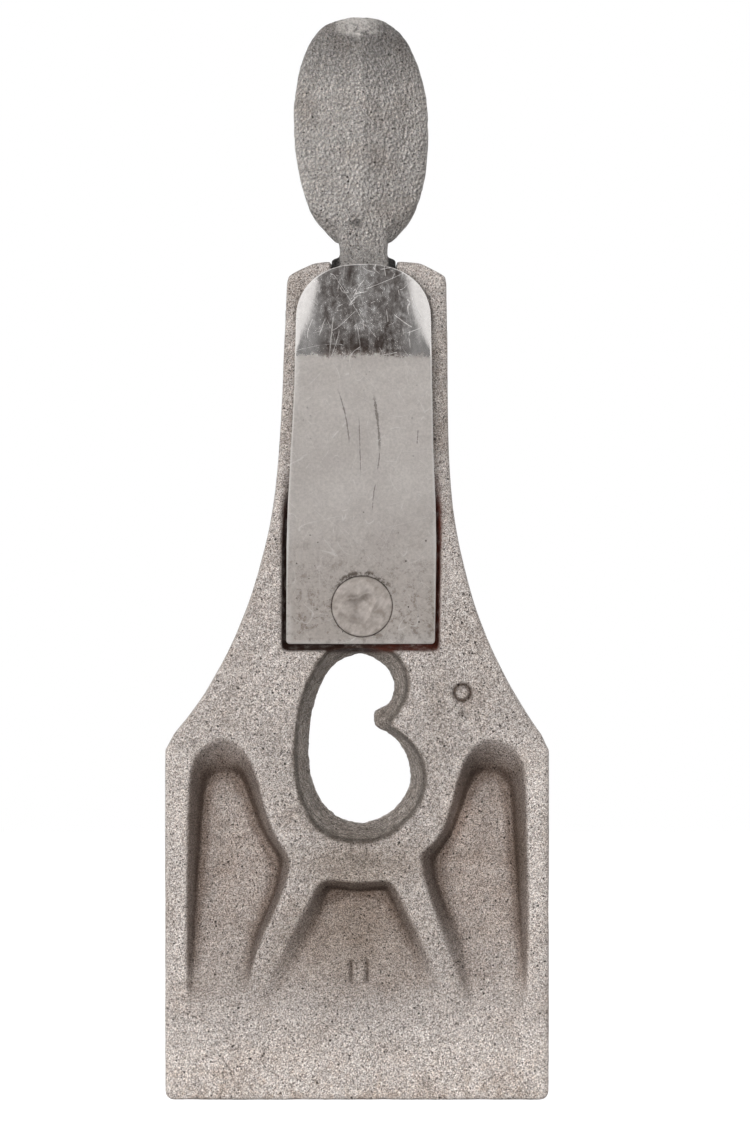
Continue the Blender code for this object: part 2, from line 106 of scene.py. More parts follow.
class Block:
    """A regular block of points in millimetres, and the surface of a field over it."""

    def __init__(self, low, high, step):
        counts = [int(math.ceil((b - a) / step)) + 1 for a, b in zip(low, high)]
        self.low = np.array(low, dtype=np.float64)
        self.step = step
        axes = [low[k] + step * np.arange(counts[k]) for k in range(3)]
        self.x = axes[0].astype(np.float32)[:, None, None]
        self.y = axes[1].astype(np.float32)[None, :, None]
        self.z = axes[2].astype(np.float32)[None, None, :]

    def surface(self, field, adaptivity=0):
        """Points in millimetres and faces where the field is zero, its inside negative."""
        reach = 3 * self.step
        grid = openvdb.FloatGrid(reach)
        grid.copyFromArray(np.clip(field, -reach, reach).astype(np.float32))
        points, triangles, quads = grid.convertToPolygons(isovalue=0, adaptivity=adaptivity)
        faces = triangles[:, ::-1].tolist() + quads[:, ::-1].tolist()
        return self.low + points.astype(np.float64) * self.step, faces

    def read(self, plane, points):
        """Reads a plane of values over X and Z at the points, evenly between its cells."""
        place = [(points[:, k] - self.low[k]) / self.step for k in (0, 2)]
        counts = plane.shape[0], plane.shape[2]
        cell = [np.clip(p.astype(int), 0, n - 2) for p, n in zip(place, counts)]
        a, b = (np.clip(p - c, 0, 1) for p, c in zip(place, cell))
        i, k = cell
        low = plane[i, 0, k] * (1 - a) + plane[i + 1, 0, k] * a
        high = plane[i, 0, k + 1] * (1 - a) + plane[i + 1, 0, k + 1] * a
        return low * (1 - b) + high * b

    def lumps(self, size, seed):
        """A smooth random field from -1 to 1, with lumps about size millimetres across."""
        axes = (self.x.ravel(), self.y.ravel(), self.z.ravel())
        counts = [int((a[-1] - a[0]) / size) + 3 for a in axes]
        values = np.random.default_rng(seed).uniform(-1, 1, counts).astype(np.float32)
        for k, a in enumerate(axes):
            place = (a - a[0]) / size
            cell = np.floor(place).astype(int)
            share = place - cell
            share = share * share * (3 - 2 * share)
            shape = [1, 1, 1]
            shape[k] = -1
            share = share.reshape(shape).astype(np.float32)
            low, high = (np.take(values, c, axis=k) for c in (cell, cell + 1))
            values = low * (1 - share) + high * share
        return values


def smooth_max(a, b, radius):
    """The larger of two fields, the corner between them rounded over radius."""
    near = np.maximum(radius - abs(a - b), 0) / radius
    return np.maximum(a, b) + near * near * radius * 0.25


def smooth_min(a, b, radius):
    """The smaller of two fields, rounded the same way."""
    return -smooth_max(-a, -b, radius)


def onset(value, start, length):
    """How far a value has come from a start over a length, kept between 0 and 1."""
    return np.clip((value - start) / length, 0, 1)


def outline_distance(outline, a, b):
    """Signed distance in the plane to a closed outline, negative inside it."""
    shape = np.broadcast(a, b).shape
    nearest = np.full(shape, np.inf, dtype=np.float32)
    inside = np.zeros(shape, dtype=bool)
    for (a0, b0), (a1, b1) in zip(outline, outline[1:] + outline[:1]):
        da, db = a1 - a0, b1 - b0
        along = np.clip(((a - a0) * da + (b - b0) * db) / (da * da + db * db + 1e-12), 0, 1)
        nearest = np.minimum(nearest, (a - a0 - along * da) ** 2 + (b - b0 - along * db) ** 2)
        if b0 != b1:
            inside ^= ((b0 > b) != (b1 > b)) & (a < a0 + (b - b0) * da / db)
    return np.where(inside, -1, 1) * np.sqrt(nearest)


def eased(value, stops):
    """Reads (place, height) stops along a value, easing in and out of each."""
    result = np.full_like(value, stops[0][1])
    for (p0, h0), (p1, h1) in zip(stops, stops[1:]):
        share = np.clip((value - p0) / (p1 - p0), 0, 1)
        result += (h1 - h0) * share * share * (3 - 2 * share)
    return result


def curve_through(points, steps, closed=False):
    """Points of a Catmull-Rom curve through the given ones, its spans cut in steps."""
    count = len(points)

    def at(index):
        return Vector(points[index % count] if closed else points[max(0, min(count - 1, index))])

    result = []
    for span in range(count if closed else count - 1):
        a, b, c, d = (at(span + k) for k in (-1, 0, 1, 2))
        for step in range(steps):
            t = step / steps
            result.append(tuple(0.5 * (
                2 * b + (c - a) * t
                + (2 * a - 5 * b + 4 * c - d) * t ** 2
                + (3 * b - a - 3 * c + d) * t ** 3
            )))
    if not closed:
        result.append(tuple(points[-1]))
    return result


def arc(centre, radius, start, end, steps):
    """Points along an arc between two angles in degrees."""
    angles = [math.radians(start + (end - start) * k / steps) for k in range(steps + 1)]
    return [(centre[0] + radius * math.cos(a), centre[1] + radius * math.sin(a)) for a in angles]


def mirrored(half):
    """A closed outline from its half at +X."""
    return half + [(-a, b) for a, b in reversed(half)]


def slope_share(height, step):
    """What turns a height difference over a sloping surface into a distance from it."""
    rise_x, rise_z = np.gradient(height[:, 0, :], step)
    return (1 / np.sqrt(1 + rise_x ** 2 + rise_z ** 2))[:, None, :]


def between_faces(block, back, front, radius):
    """The field of what lies between two height fields in Y, its corners rounded."""
    y, step = block.y, block.step
    behind, before = (back - y) * slope_share(back, step), (y - front) * slope_share(front, step)
    return smooth_max(behind, before, radius)


def softened(height, passes):
    """Rounds the creases of a height field."""
    for _ in range(passes):
        for axis in (0, 2):
            padded = np.concatenate(
                [np.take(height, [0], axis), height, np.take(height, [-1], axis)], axis
            )
            count = height.shape[axis]
            low, high = (np.take(padded, np.arange(k, k + count), axis) for k in (0, 2))
            height = 0.25 * low + 0.5 * height + 0.25 * high
    return height


def placed(name, data):
    """A new object in the scene with this data."""
    obj = bpy.data.objects.new(name, data)
    bpy.context.scene.collection.objects.link(obj)
    return obj


def piece_from(name, points, faces, material, masks=None):
    """A smooth-shaded object from points in millimetres, with masks kept as attributes."""
    data = bpy.data.meshes.new(name)
    data.from_pydata((np.asarray(points) * MM).tolist(), [], list(faces))
    data.update()
    data.shade_smooth()
    for key, values in (masks or {}).items():
        data.attributes.new(key, "FLOAT", "POINT").data.foreach_set(
            "value", np.asarray(values, dtype=np.float32)
        )
    data.materials.append(material)
    return placed(name, data)


# ---------------------------------------------------------------- how the casting leans

def cheek_middle(z):
    """The cheeks lean a little to +X of the nose, as the casting came out of its mould."""
    return np.interp(z, [46, 53, 84, 96, 106], [0, 0.35, 0.9, 1.12, 1.25])


def lever_middle(z):
    """Where the lever's middle line lies, which leans back to the cap's axis."""
    return np.interp(z, [100, 110, 121, 132, LEVER_TOP], [0.95, 0.85, 0.65, 0.4, 0.1])


def plate_middle(z):
    """Where the spring's middle line lies."""
    return np.interp(z, [PLATE_LOW[2], 72.8, 84.5, 92.3, 101.4], [0.46, 0.58, 0.66, 0.8, 0.84])


def plate_half(z):
    """Half the spring's width."""
    return np.interp(
        z, [PLATE_LOW[2], 71, 76.7, 80.6, 84.5, 92.3, 98.8], [9.68, 9.76, 9.64, 9.42, 9.25, 8.95, 8.78]
    )


# ---------------------------------------------------------------- the casting

def cap_outline():
    """The casting square-on: a wide nose, flaring in to two long rails and the ears."""
    corner = 1.2
    right = [(HALF_WIDTH - corner, 0)]
    right += arc((HALF_WIDTH - corner, corner), corner, -70, 0, 6)
    right += arc((HALF_WIDTH - 0.8, 45.3), 0.8, 0, 48, 5)
    right += curve_through(
        [(24, 47.5), (22.55, 49.4), (19.95, 53.3), (16.9, 59.15), (14.6, 65), (12.95, 70.85),
         (11.8, 76.7), (11.2, 82.5), (10.85, 90), (10.65, 98), (10.45, 104)], 4
    )
    right += [(10.4, 106.2), (10.2, 107.1), (9.5, 107.6), (8.2, 108.25), (7, 108.85)]
    right += [(6.1, 109.1), (4.4, CAP_TOP)]
    return mirrored(right)


def keyhole_outlines():
    """The keyhole's rim at the back and its opening further in."""
    rim = [
        (0.3, 59.2), (4, 58.8), (6.2, 56.4), (6.7, 54.3), (6.4, 52.3), (5.5, 50.6), (4.6, 49.5),
        (4.5, 48.6), (5.3, 48), (6.9, 46.7), (8.2, 44.85), (8.9, 42.6), (8.8, 40.3), (7.9, 38),
        (6.2, 36.1), (4.3, 34.5), (2.3, 33.7), (0.4, 33.5), (-1.6, 33.65), (-3.5, 34.2),
        (-5.5, 35.6), (-6.8, 37.7), (-7.7, 40.3), (-8.1, 43.2), (-8.1, 46.5), (-7.75, 49.7),
        (-7.1, 52.65), (-5.9, 55.4), (-4.6, 57.5), (-3.2, 58.8)
    ]
    opening = [
        (0.4, 58.1), (2, 57.7), (3.65, 56.55), (4.6, 55.25), (4.95, 53.8), (4.6, 52.3), (3.9, 51.2),
        (3, 50.8), (2.4, 50.35), (2.25, 49.5), (2.35, 48.75), (3, 48.35), (3.9, 47.9), (5.1, 47),
        (6.2, 45.5), (6.8, 43.9), (7.05, 41.9), (6.6, 40), (5.4, 38.35), (4, 37.05), (2.3, 36.3),
        (0.4, 35.9), (-1.6, 36.3), (-3.2, 37.2), (-4.5, 38.5), (-5.5, 40.3), (-6.1, 42.3),
        (-6.4, 44.9), (-6.3, 48.1), (-5.8, 51), (-5, 53.6), (-3.7, 55.9), (-1.9, 57.5)
    ]
    return curve_through(rim, 3, closed=True), curve_through(opening, 3, closed=True)


def side_pocket_outlines(side):
    """Rim and floor of a side pocket: the left one, and the right one, which is a little wider."""
    rim = [
        (21.7, 10), (21.9, 13), (22.05, 17.3), (22.1, 26), (21.9, 34.7), (21.7, 42.4),
        (20.7, 45.4), (18, 47.1), (15.6, 46.5), (14, 44.5), (12.95, 41.5), (12, 37.7),
        (10.7, 34.3), (9.2, 32.2), (8.7, 31), (8.95, 29.5), (9.8, 26.8), (10.9, 24.3),
        (12.3, 21.5), (13.4, 18.2), (14.2, 14), (15, 10)
    ]
    floor = [
        (21.55, 10.2), (21.6, 13.9), (21.3, 19.5), (20.9, 26), (20.5, 32.5), (20, 39),
        (19.2, 41.7), (17.6, 42.55), (15.9, 42.4), (14.9, 41.4), (13.9, 39), (12.8, 36),
        (11.5, 33.6), (10.5, 31.9), (10.25, 30.6), (10.5, 28.3), (11.4, 25.6), (13, 21.7),
        (13.9, 18.4), (14.7, 14.2), (15.5, 10.2)
    ]
    if side > 0:
        rim = rim[:13] + [(8.3, 32.2), (8.2, 31), (8.5, 29.2), (9.2, 26.9), (10.6, 22.5)]
        rim += [(12.1, 18.2), (13.6, 14.3), (14.6, 10)]
        rim = [(a + 0.15, b) for a, b in rim]
    rim = [(side * a, b) for a, b in curve_through(rim, 3, closed=True)]
    floor = [(side * a, b) for a, b in curve_through(floor, 3, closed=True)]
    return rim, floor


def centre_pocket_outlines():
    """Rim and floor of the middle pocket."""
    rim = [
        (-13.4, 10), (-12, 13.9), (-10.7, 17.3), (-9.1, 20.8), (-7, 24.5), (-5.4, 27.6),
        (-4.6, 28.5), (-2.8, 28.5), (0, 28.2), (2.6, 28.4), (4.3, 28.4), (5.1, 27.5),
        (6.6, 24.5), (8.4, 20.8), (9.9, 17.3), (11.4, 13), (12.4, 10)
    ]
    floor = [
        (-12.2, 10.2), (-10.4, 13.9), (-8.9, 16.9), (-7, 20.4), (-4.9, 24.3), (-3.7, 26.9),
        (-3.1, 27.4), (-1.6, 27.35), (0, 27.15), (1.8, 27.25), (3.2, 27.3), (3.9, 26.7),
        (5.4, 23.6), (7.1, 20.2), (8.6, 16.9), (10.2, 13), (11.4, 10.2)
    ]
    return curve_through(rim, 3, closed=True), curve_through(floor, 3, closed=True)


def pocket_depth(block, outlines, fade_z):
    """How deep a pocket is: walls ruled from its rim to its floor, which slopes up from fade_z."""
    rim, floor = (outline_distance(o, block.x, block.z) for o in outlines)
    within = np.maximum(-rim, 0)
    wall = np.clip(within / (within + np.maximum(floor, 0) + 1e-6), 0, 1)
    up = block.z - fade_z
    depth = np.interp(up, [0, 4, 10, 20, 31], [0, 0.9, 2.1, 3.5, 4.6])
    return wall * depth.astype(np.float32)


def cap_back(block):
    """Height in Y of the casting's back, and how deep its pockets are."""
    fall = eased(
        block.z, [(68, 0), (84, RAIL_FALL), (96.5, RAIL_FALL + 0.3), (CAP_TOP, RAIL_FALL + 2.1)]
    )
    hollow = (
        pocket_depth(block, side_pocket_outlines(-1), 11.5)
        + pocket_depth(block, side_pocket_outlines(1), 11)
        + pocket_depth(block, centre_pocket_outlines(), 11.5)
    )
    hollow = softened(hollow, 2)
    edge_droop = 0.1 * onset(abs(block.x) - HALF_WIDTH, -1.6, 1.6) ** 2
    return BACK + fall + hollow + MARK_DEPTH * scribe_lines(block.x, block.z) + edge_droop, hollow


def cap_front(block):
    """Height in Y of the casting's front: the nose's slope running into a low crown."""
    nose_front = BACK + NOSE_EDGE
    slope = nose_front + (FRONT - nose_front) * block.z / NOSE_LENGTH
    crown = FRONT - 0.25 * (block.x / HALF_WIDTH) ** 2
    return smooth_min(slope + 0 * block.x, crown + 0 * block.z, 2.5)


def casting_field(block):
    """The casting as a signed distance, with planes of values that its colours use."""
    x, y, z = block.x, block.y, block.z
    lean = cheek_middle(z).astype(np.float32)
    back, hollow = cap_back(block)
    front = cap_front(block)
    faces = between_faces(block, back, front, 0.8)
    side = outline_distance(cap_outline(), x - lean, z) + 0.02 * abs(y - FRONT / 2)
    field = smooth_max(faces, side, 0.5)

    ear_radius = 5
    over_y = np.maximum(y - (FRONT - ear_radius), 0)
    over_z = np.maximum(z - (CAP_TOP - ear_radius), 0)
    field = smooth_max(field, np.sqrt(over_y ** 2 + over_z ** 2) - ear_radius + 0 * x, 0.8)
    field = field + 0.04 * block.lumps(3.1, 5) + 0.03 * block.lumps(1.1, 6)

    rim, opening = (outline_distance(o, x, z) for o in keyhole_outlines())
    share = np.interp(y - BACK, [-1, 0, 1, 4.2], [1, 1, 0.84, 0]).astype(np.float32)
    hole = opening + share * (rim - opening)
    ragged = 0.19 * block.lumps(0.6, 21) * onset(y - BACK, 1.5, 1.5)
    field = smooth_max(field, -hole + ragged, 0.25)

    height = np.maximum(RECESS_FLOOR - y, 0)
    beside = abs(x - plate_middle(z)) - plate_half(z) - 0.14 - 0.3 * height
    below = PLATE_LOW[2] - 0.25 - 0.42 * height - z
    recess = smooth_max(beside, below + 0 * x, 0.8)
    recess = np.maximum(np.maximum(recess, z - 92), y - RECESS_FLOOR)
    field = smooth_max(field, -recess.astype(np.float32), 0.25)

    swing = np.maximum(z - RIVET_Z, 0) * math.tan(SPRING_SWING) + 0.2
    under = y - (plate_y(x, z) + PLATE_THICK / 2 + swing)
    relief = np.maximum(outline_distance(plate_shape(), x, z) - 0.15, under)
    relief = np.maximum(relief, 84 - z)
    field = np.maximum(field, -relief.astype(np.float32))

    slot_z = 93 + SLOT_HALF
    slot = np.sqrt((x - SLOT_MIDDLE) ** 2 + np.minimum(z - slot_z, 0) ** 2) - SLOT_HALF
    lip_y = onset(y - PIN_Y, -0.8, 1.2)
    slot = slot - EAR_DRAFT * (1 - lip_y * onset(z - PIN_Z, 5.6, 0.6))
    field = smooth_max(field, -slot, 0.3)
    pin_bore = np.sqrt((y - PIN_Y) ** 2 + (z - PIN_Z) ** 2) - PIN_RADIUS - 0.05
    field = np.maximum(field, -(pin_bore + 0 * x))
    rivet_bore = np.sqrt((x - AXIS_X) ** 2 + (z - RIVET_Z) ** 2) - 2.2
    field = np.maximum(field, -(rivet_bore + 0 * y))
    return field, {"back": back, "hollow": hollow, "rim": rim}


def casting(material):
    """The casting's mesh, with masks for painted shade in its pockets, on its steep walls, in its
    creases and in the keyhole, painted highlights on its ridges, a rusted gap beside the spring with
    painted shadow, its tones and its dressed faces.
    """
    block = Block([v - MARGIN for v in CAP_LOW], [v + MARGIN for v in CAP_HIGH], GRID)
    field, planes = casting_field(block)
    points, faces = block.surface(field, 0.02)
    back = planes["back"]
    x, y, z = points.T
    near_back = onset(BACK + 6.5, y, 1)
    rise_x, rise_z = np.gradient(back[:, 0, :], block.step)
    steep = block.read(np.hypot(rise_x, rise_z)[:, None, :], points)
    # painted shade: steep walls of the back are darkened in colour, where frontal light falls off on
    # them
    wall = onset(steep, 0.45, 1) * near_back
    # painted light: values over 0.5 mark hollows, darkened as painted shade; values under 0.5 mark
    # ridges, brightened as painted highlights
    crease_shade_and_ridge_highlight = np.clip(0.5 + block.read(back - softened(back, 40), points) * 0.8, 0, 1)
    crease_shade_and_ridge_highlight = crease_shade_and_ridge_highlight * near_back + 0.5 * (1 - near_back)
    rim = block.read(planes["rim"], points)
    # painted shade: the keyhole's walls are darkened, with streaks running into the bore
    hole_wall_shade = np.clip(-rim / 0.3, 0, 1) * onset(BACK + 6, y, 1.5)
    # painted shade: a dark line just inside the keyhole's rim, where its edge turns away
    rim_shade_line = onset(0.42, abs(rim + 0.12), 0.2) * onset(BACK + 1.7, y, 0.5)
    # painted shade: pocket floors are darkened in colour the deeper they lie
    pocket_depth_shade = np.clip(block.read(planes["hollow"], points) / 3, 0, 1) * near_back
    beside = abs(x - plate_middle(z)) - plate_half(z)
    in_recess = onset(1, beside, 0.5) * onset(z, 57.9, 0.5)
    # rusted, and painted shadow: the gap beside the spring is darkened almost black where the plate
    # shades it
    rust_and_gap_shadow = in_recess * onset(83, z, 6) * onset(y, BACK, 0.5)
    rust_and_gap_shadow = rust_and_gap_shadow * np.clip(3 - y, 0, 1)
    nose_rise = (FRONT - BACK - NOSE_EDGE) / NOSE_LENGTH
    on_nose = onset(y - (BACK + NOSE_EDGE + nose_rise * z), -0.5, 0.4)
    dressed = np.maximum(onset(y, FRONT - 1.5, 1.2), on_nose)
    masks = {
        "pocket_depth_shade": pocket_depth_shade, "wall": wall, "crease_shade_and_ridge_highlight": crease_shade_and_ridge_highlight, "rust_and_gap_shadow": rust_and_gap_shadow, "dressed": dressed,
        "hole": hole_wall_shade, "rim_shade_line": rim_shade_line, "tone_and_painted_light": casting_tone_and_shade(x, z), "scribe": scribe_lines(x, z) * near_back
    }
    return piece_from("cap_casting", points, faces, material, masks)


def soft_patch(x, z, middle, reach):
    """A soft spot, 1 in its middle."""
    return np.exp(-((x - middle[0]) / reach[0]) ** 2 - ((z - middle[1]) / reach[1]) ** 2)


def casting_tone_and_shade(x, z):
    """How the skin's brightness drifts: paler at the nose and edges, darker in patches over the middle;
    some patches and the darker upper rails are painted shade.
    """
    pale = 0.34 * onset(15, z, 9)
    pale = np.maximum(pale, 0.16 * onset(abs(x), 20.5, 2) * (z < 46))
    dark = 0
    # some of these patches are painted shade, such as the dark strip on the right pocket's outer wall
    for middle, reach, depth in (
        ((0, 31), (8, 2.8), 0.34), ((-1, 20), (13, 8), 0.27), ((0.3, 24.5), (5, 3.5), 0.16),
        ((2.5, 8), (9, 4.5), 0.14), ((-17, 8.5), (5, 3), 0.10), ((11, 44), (4, 9), 0.16),
        ((10.3, 54.5), (1.6, 5), 0.16), ((-11, 44), (3.5, 9), 0.12), ((-13, 52), (4, 5), -0.07),
        ((18, 50.5), (3, 3), 0.06), ((-20, 46.5), (5, 2), 0.04), ((-17, 44.5), (3.5, 1.8), -0.2),
        ((21.3, 33), (1, 9), 0.4), ((13.3, 37), (1.5, 4), -0.7), ((-8, 105.5), (3.5, 4), 0.2),
        ((0, 34.6), (6, 1.2), 0.1), ((-12, 36), (1.5, 5), -0.08), ((0, 9.5), (22, 1.6), 0.06),
        ((-24.6, 26), (0.5, 14), 0.1), ((-16, 16), (4, 5), 0.08), ((-7.4, 46), (0.8, 8), -0.3),
        ((-10.5, 52), (2, 5), -0.04), ((20, 47), (3, 1.5), -0.04)
    ):
        dark = dark + depth * soft_patch(x, z, middle, reach)
    # painted shade: the upper rails, which slope away, are darker
    dark = dark + 0.12 * onset(z, 78, 8) * onset(104, z, 6)
    return 1 + pale - dark


def scribe_lines(x, z):
    """Cast marks with no meaning: a ring over a dot, a pair of bars and a pair of gate lines."""
    pip = np.hypot(x - 13.7, z - 53)
    dot = np.hypot(x - 13.7, z - 50.3)
    marks = np.exp(-((pip - 1.05) / 0.26) ** 2) + 0.8 * np.exp(-(dot / 0.45) ** 2)
    for bar_x in (-0.75, 1.35):
        run = onset(abs(z - 16.9), 1.3, 0.4)
        marks = marks + 0.8 * np.exp(-((x - bar_x) / 0.27) ** 2) * (1 - run)
    for gate_x in (-0.65, 1.3):
        run = onset(abs(z - 32.3), 0.9, 0.4)
        marks = marks + 0.45 * np.exp(-((x - gate_x) / 0.2) ** 2) * (1 - run)
    return np.clip(marks, 0, 1)


# ---------------------------------------------------------------- the cam lever

def pad_outline():
    """The neck and oval thumb pad square-on."""
    right = [
        (3.15, 104), (3.15, 110.9), (3.55, 111.6), (4.3, 112.3), (5.3, 113.4), (6.1, 114.4),
        (6.9, 115.9), (7.5, 117.5), (8.05, 119.6), (8.4, 121.7), (8.65, 123.9), (8.75, 126.4),
        (8.7, 129), (8.45, 131.2), (8.05, 133.3), (7.45, 135.3), (6.6, 137.3), (5.8, 138.6),
        (4.8, 139.8), (3.7, 140.6), (2.5, 141.15), (1.2, 141.45)
    ]
    return mirrored(curve_through(right, 3))


def lever_field(block):
    """The lever as a signed distance: a keeled pad with a dished front, and its cam hub."""
    y, z = block.y, block.z
    x = block.x - lever_middle(z).astype(np.float32)
    across = abs(x)
    middle = 4.9 + 6.3 * (np.maximum(z - 104, 0) / 37.8) ** 1.8
    half = np.interp(z, [104, 113, 122, 132, 138, 141.8], [2.5, 2.5, 2.5, 2.2, 1.8, 1.3])
    keel = 0.2 * np.sqrt(across ** 2 + 0.01) * onset(z, 112, 4)
    past_line = 0.83 * (FLANK_Z + 0.66 * (across - FLANK_HALF) - z)
    flank = 0.85 * np.maximum(past_line, 0) * onset(across, FLANK_HALF, 0.4)
    tip = 0.5 * np.maximum(z - 138.6, 0)
    back = softened((middle - half + keel + np.minimum(flank, 2.6) + tip).astype(np.float32), 1)
    width = np.interp(z, [108, 112, 117, 126, 135, 141], [3.1, 4.2, 7.4, 8.7, 7.4, 3])
    dish = 0.55 * np.clip(1 - (across / width) ** 2, 0, 1)
    dish = dish * onset(z, 111, 6)
    front = softened((middle + half - dish).astype(np.float32), 2)
    faces = between_faces(block, back, front, 0.7)
    pad = smooth_max(faces, outline_distance(pad_outline(), x, z), 1)

    hub = outline_distance(cam_profile(), y, z) + 0 * x
    hub_side = across - HUB_HALF + 3 * np.maximum(z - (PIN_Z + 7.8), 0)
    lip_y = onset(PIN_Y - 0.2, y, 0.8)
    hub_side = hub_side - 0.14 * lip_y * onset(z - PIN_Z, 6, 0.6)
    hub = smooth_max(hub, hub_side, 0.3)
    lever = smooth_min(pad, hub, 1)
    above_ears = 0.2 + 0.8 * onset(z, 110, 1.5)
    lever = lever + above_ears * (0.05 * block.lumps(2.3, 11) + 0.065 * block.lumps(0.7, 12))
    pit = np.sqrt((x + 0.9) ** 2 + (y - middle + half) ** 2 + (z - 114.2) ** 2) - 0.6
    lever = smooth_max(lever, -pit, 0.5)
    bore = np.sqrt((y - PIN_Y) ** 2 + (z - PIN_Z) ** 2) - PIN_RADIUS - 0.1 + 0 * x
    return np.maximum(lever, -bore)


def cam_profile():
    """Hub and neck from the side in Y and Z: a cam whose radius falls evenly as it opens."""
    contact = math.radians(10)
    fall = 0.45
    points = []
    first, last, steps = math.radians(-16), math.radians(106), 40
    for k in range(steps + 1):
        turn = first + (last - first) * k / steps
        reach = CAM_REACH - fall * turn
        angle = contact - turn
        points.append((
            PIN_Y - reach * math.cos(angle) + fall * math.sin(angle),
            PIN_Z + reach * math.sin(angle) + fall * math.cos(angle)
        ))
    points += arc((PIN_Y, PIN_Z), 3.55, -80, 15, 14)
    points += [
        (PIN_Y + 3, PIN_Z + 4.5), (PIN_Y + 2.9, PIN_Z + 8.6), (PIN_Y - 1.2, PIN_Z + 8.6),
        (PIN_Y - 2.3, PIN_Z + 6.6), (PIN_Y - 2.6, PIN_Z + 5.4)
    ]
    return points


def cam_lever(material):
    """The lever's mesh, with masks for its worn tip and its tones, which carry painted light: a lighter
    left half, darker flank facets, a highlight along the keel, and painted shadow on the hub's
    shoulders.
    """
    block = Block([v - MARGIN for v in LEVER_LOW], [v + MARGIN for v in LEVER_HIGH], GRID)
    points, faces = block.surface(lever_field(block), 0.01)
    x, y, z = points.T
    across = x - lever_middle(z)
    worn = onset(z - 138.3, 0.2 * abs(across), 0.5)
    worn = worn * onset(3.8, abs(across + 0.3), 2.2)
    past_line = FLANK_Z + 0.66 * (abs(across) - FLANK_HALF) - z
    flank = np.clip(past_line / 0.5, 0, 1) * onset(abs(across), FLANK_HALF, 0.3)
    upper = onset(z, 114, 3)
    # painted light: the pad's left half lighter than its right, and its flank facets darker, as if lit
    # from the left
    tone_and_painted_light = 1.1 - 0.065 * upper * np.clip(across / 0.4, -1, 1) - 0.22 * flank * (y < 8)
    # painted highlight along the keel
    tone_and_painted_light = tone_and_painted_light + 0.34 * np.exp(-(across / 0.22) ** 2) * upper * onset(z, 118, 14)
    tone_and_painted_light = tone_and_painted_light - 0.48 * onset(z, 131, 7) - 0.2 * onset(112.5, z, 1.5)
    tone_and_painted_light = tone_and_painted_light - 0.75 * soft_patch(across, z, (-0.9, 114.2), (0.6, 0.65)) * (y < 5.5)
    # painted shadow: the hub's shoulders deep in the slot are darkened nearly black
    shoulder_shadow_and_glint = onset(abs(across), 3.05, 0.15) * onset(110.2, z, 0.4)
    tone_and_painted_light = tone_and_painted_light * (1 - 0.88 * shoulder_shadow_and_glint)
    return piece_from("thumb_lever", points, faces, material, {"worn": worn, "tone_and_painted_light": tone_and_painted_light})


# ---------------------------------------------------------------- spring, rivet and pin

def plate_shape():
    """The spring's outline square-on: nearly parallel, then tapered to a full, rounded top."""
    end_height = 7.4
    fullness = 2 / 2.25
    straight_top = PLATE_HIGH[2] - end_height
    bottom = PLATE_LOW[2]
    corner = 0.5
    half = arc((plate_half(bottom) - corner, bottom + corner), corner, -90, 0, 5)
    levels = (64, 68, 72, 75, 77.5, 80, 84.5, 88.5, 92.5, 97)
    half += [(float(plate_half(z)), z) for z in levels]
    steps = 30
    for k in range(steps):
        angle = math.pi / 2 * k / steps
        across = float(plate_half(straight_top)) * math.cos(angle) ** fullness
        half.append((across, straight_top + end_height * math.sin(angle) ** fullness))
    return [(a + float(plate_middle(b)), b) for a, b in mirrored(half)]


def filled_curve(name, loops, thickness, round_edge):
    """A mesh from a flat outline with holes, as thick as asked, with rounded edges."""
    data = bpy.data.curves.new(name, "CURVE")
    data.dimensions = "2D"
    data.fill_mode = "BOTH"
    data.extrude = (thickness / 2 - round_edge) * MM
    data.bevel_depth = round_edge * MM
    data.bevel_resolution = 3
    data.offset = -round_edge * MM
    for loop in loops:
        spline = data.splines.new("POLY")
        spline.points.add(len(loop) - 1)
        for point, (a, b) in zip(spline.points, loop):
            point.co = (a * MM, b * MM, 0, 1)
        spline.use_cyclic_u = True
    guide = placed(name + "_outline", data)
    evaluated = guide.evaluated_get(bpy.context.evaluated_depsgraph_get())
    mesh_data = bpy.data.meshes.new_from_object(evaluated)
    bpy.data.objects.remove(guide, do_unlink=True)
    return mesh_data


def plate_y(x, z):
    """Where the middle of the spring's thickness lies: a slight tilt, then the bent, domed tip."""
    bend_z = 96.9
    softness = 0.8
    past = (z - bend_z + 0.05 * (x - AXIS_X)) / softness
    bent = softness * np.logaddexp(0, past)
    base = 0.1 - PLATE_THICK / 2 - (z - PLATE_LOW[2]) * math.tan(math.radians(1.5))
    rise = bent * (math.tan(math.radians(10)) + math.tan(math.radians(1.5)))
    side = (x - plate_middle(z)) / 8.8
    dome = np.interp(z, [bend_z - 0.4, bend_z + 1.5, 101, 106], [0, 0.42, 0.72, 1.3])
    return base + rise + dome * abs(side) ** 4


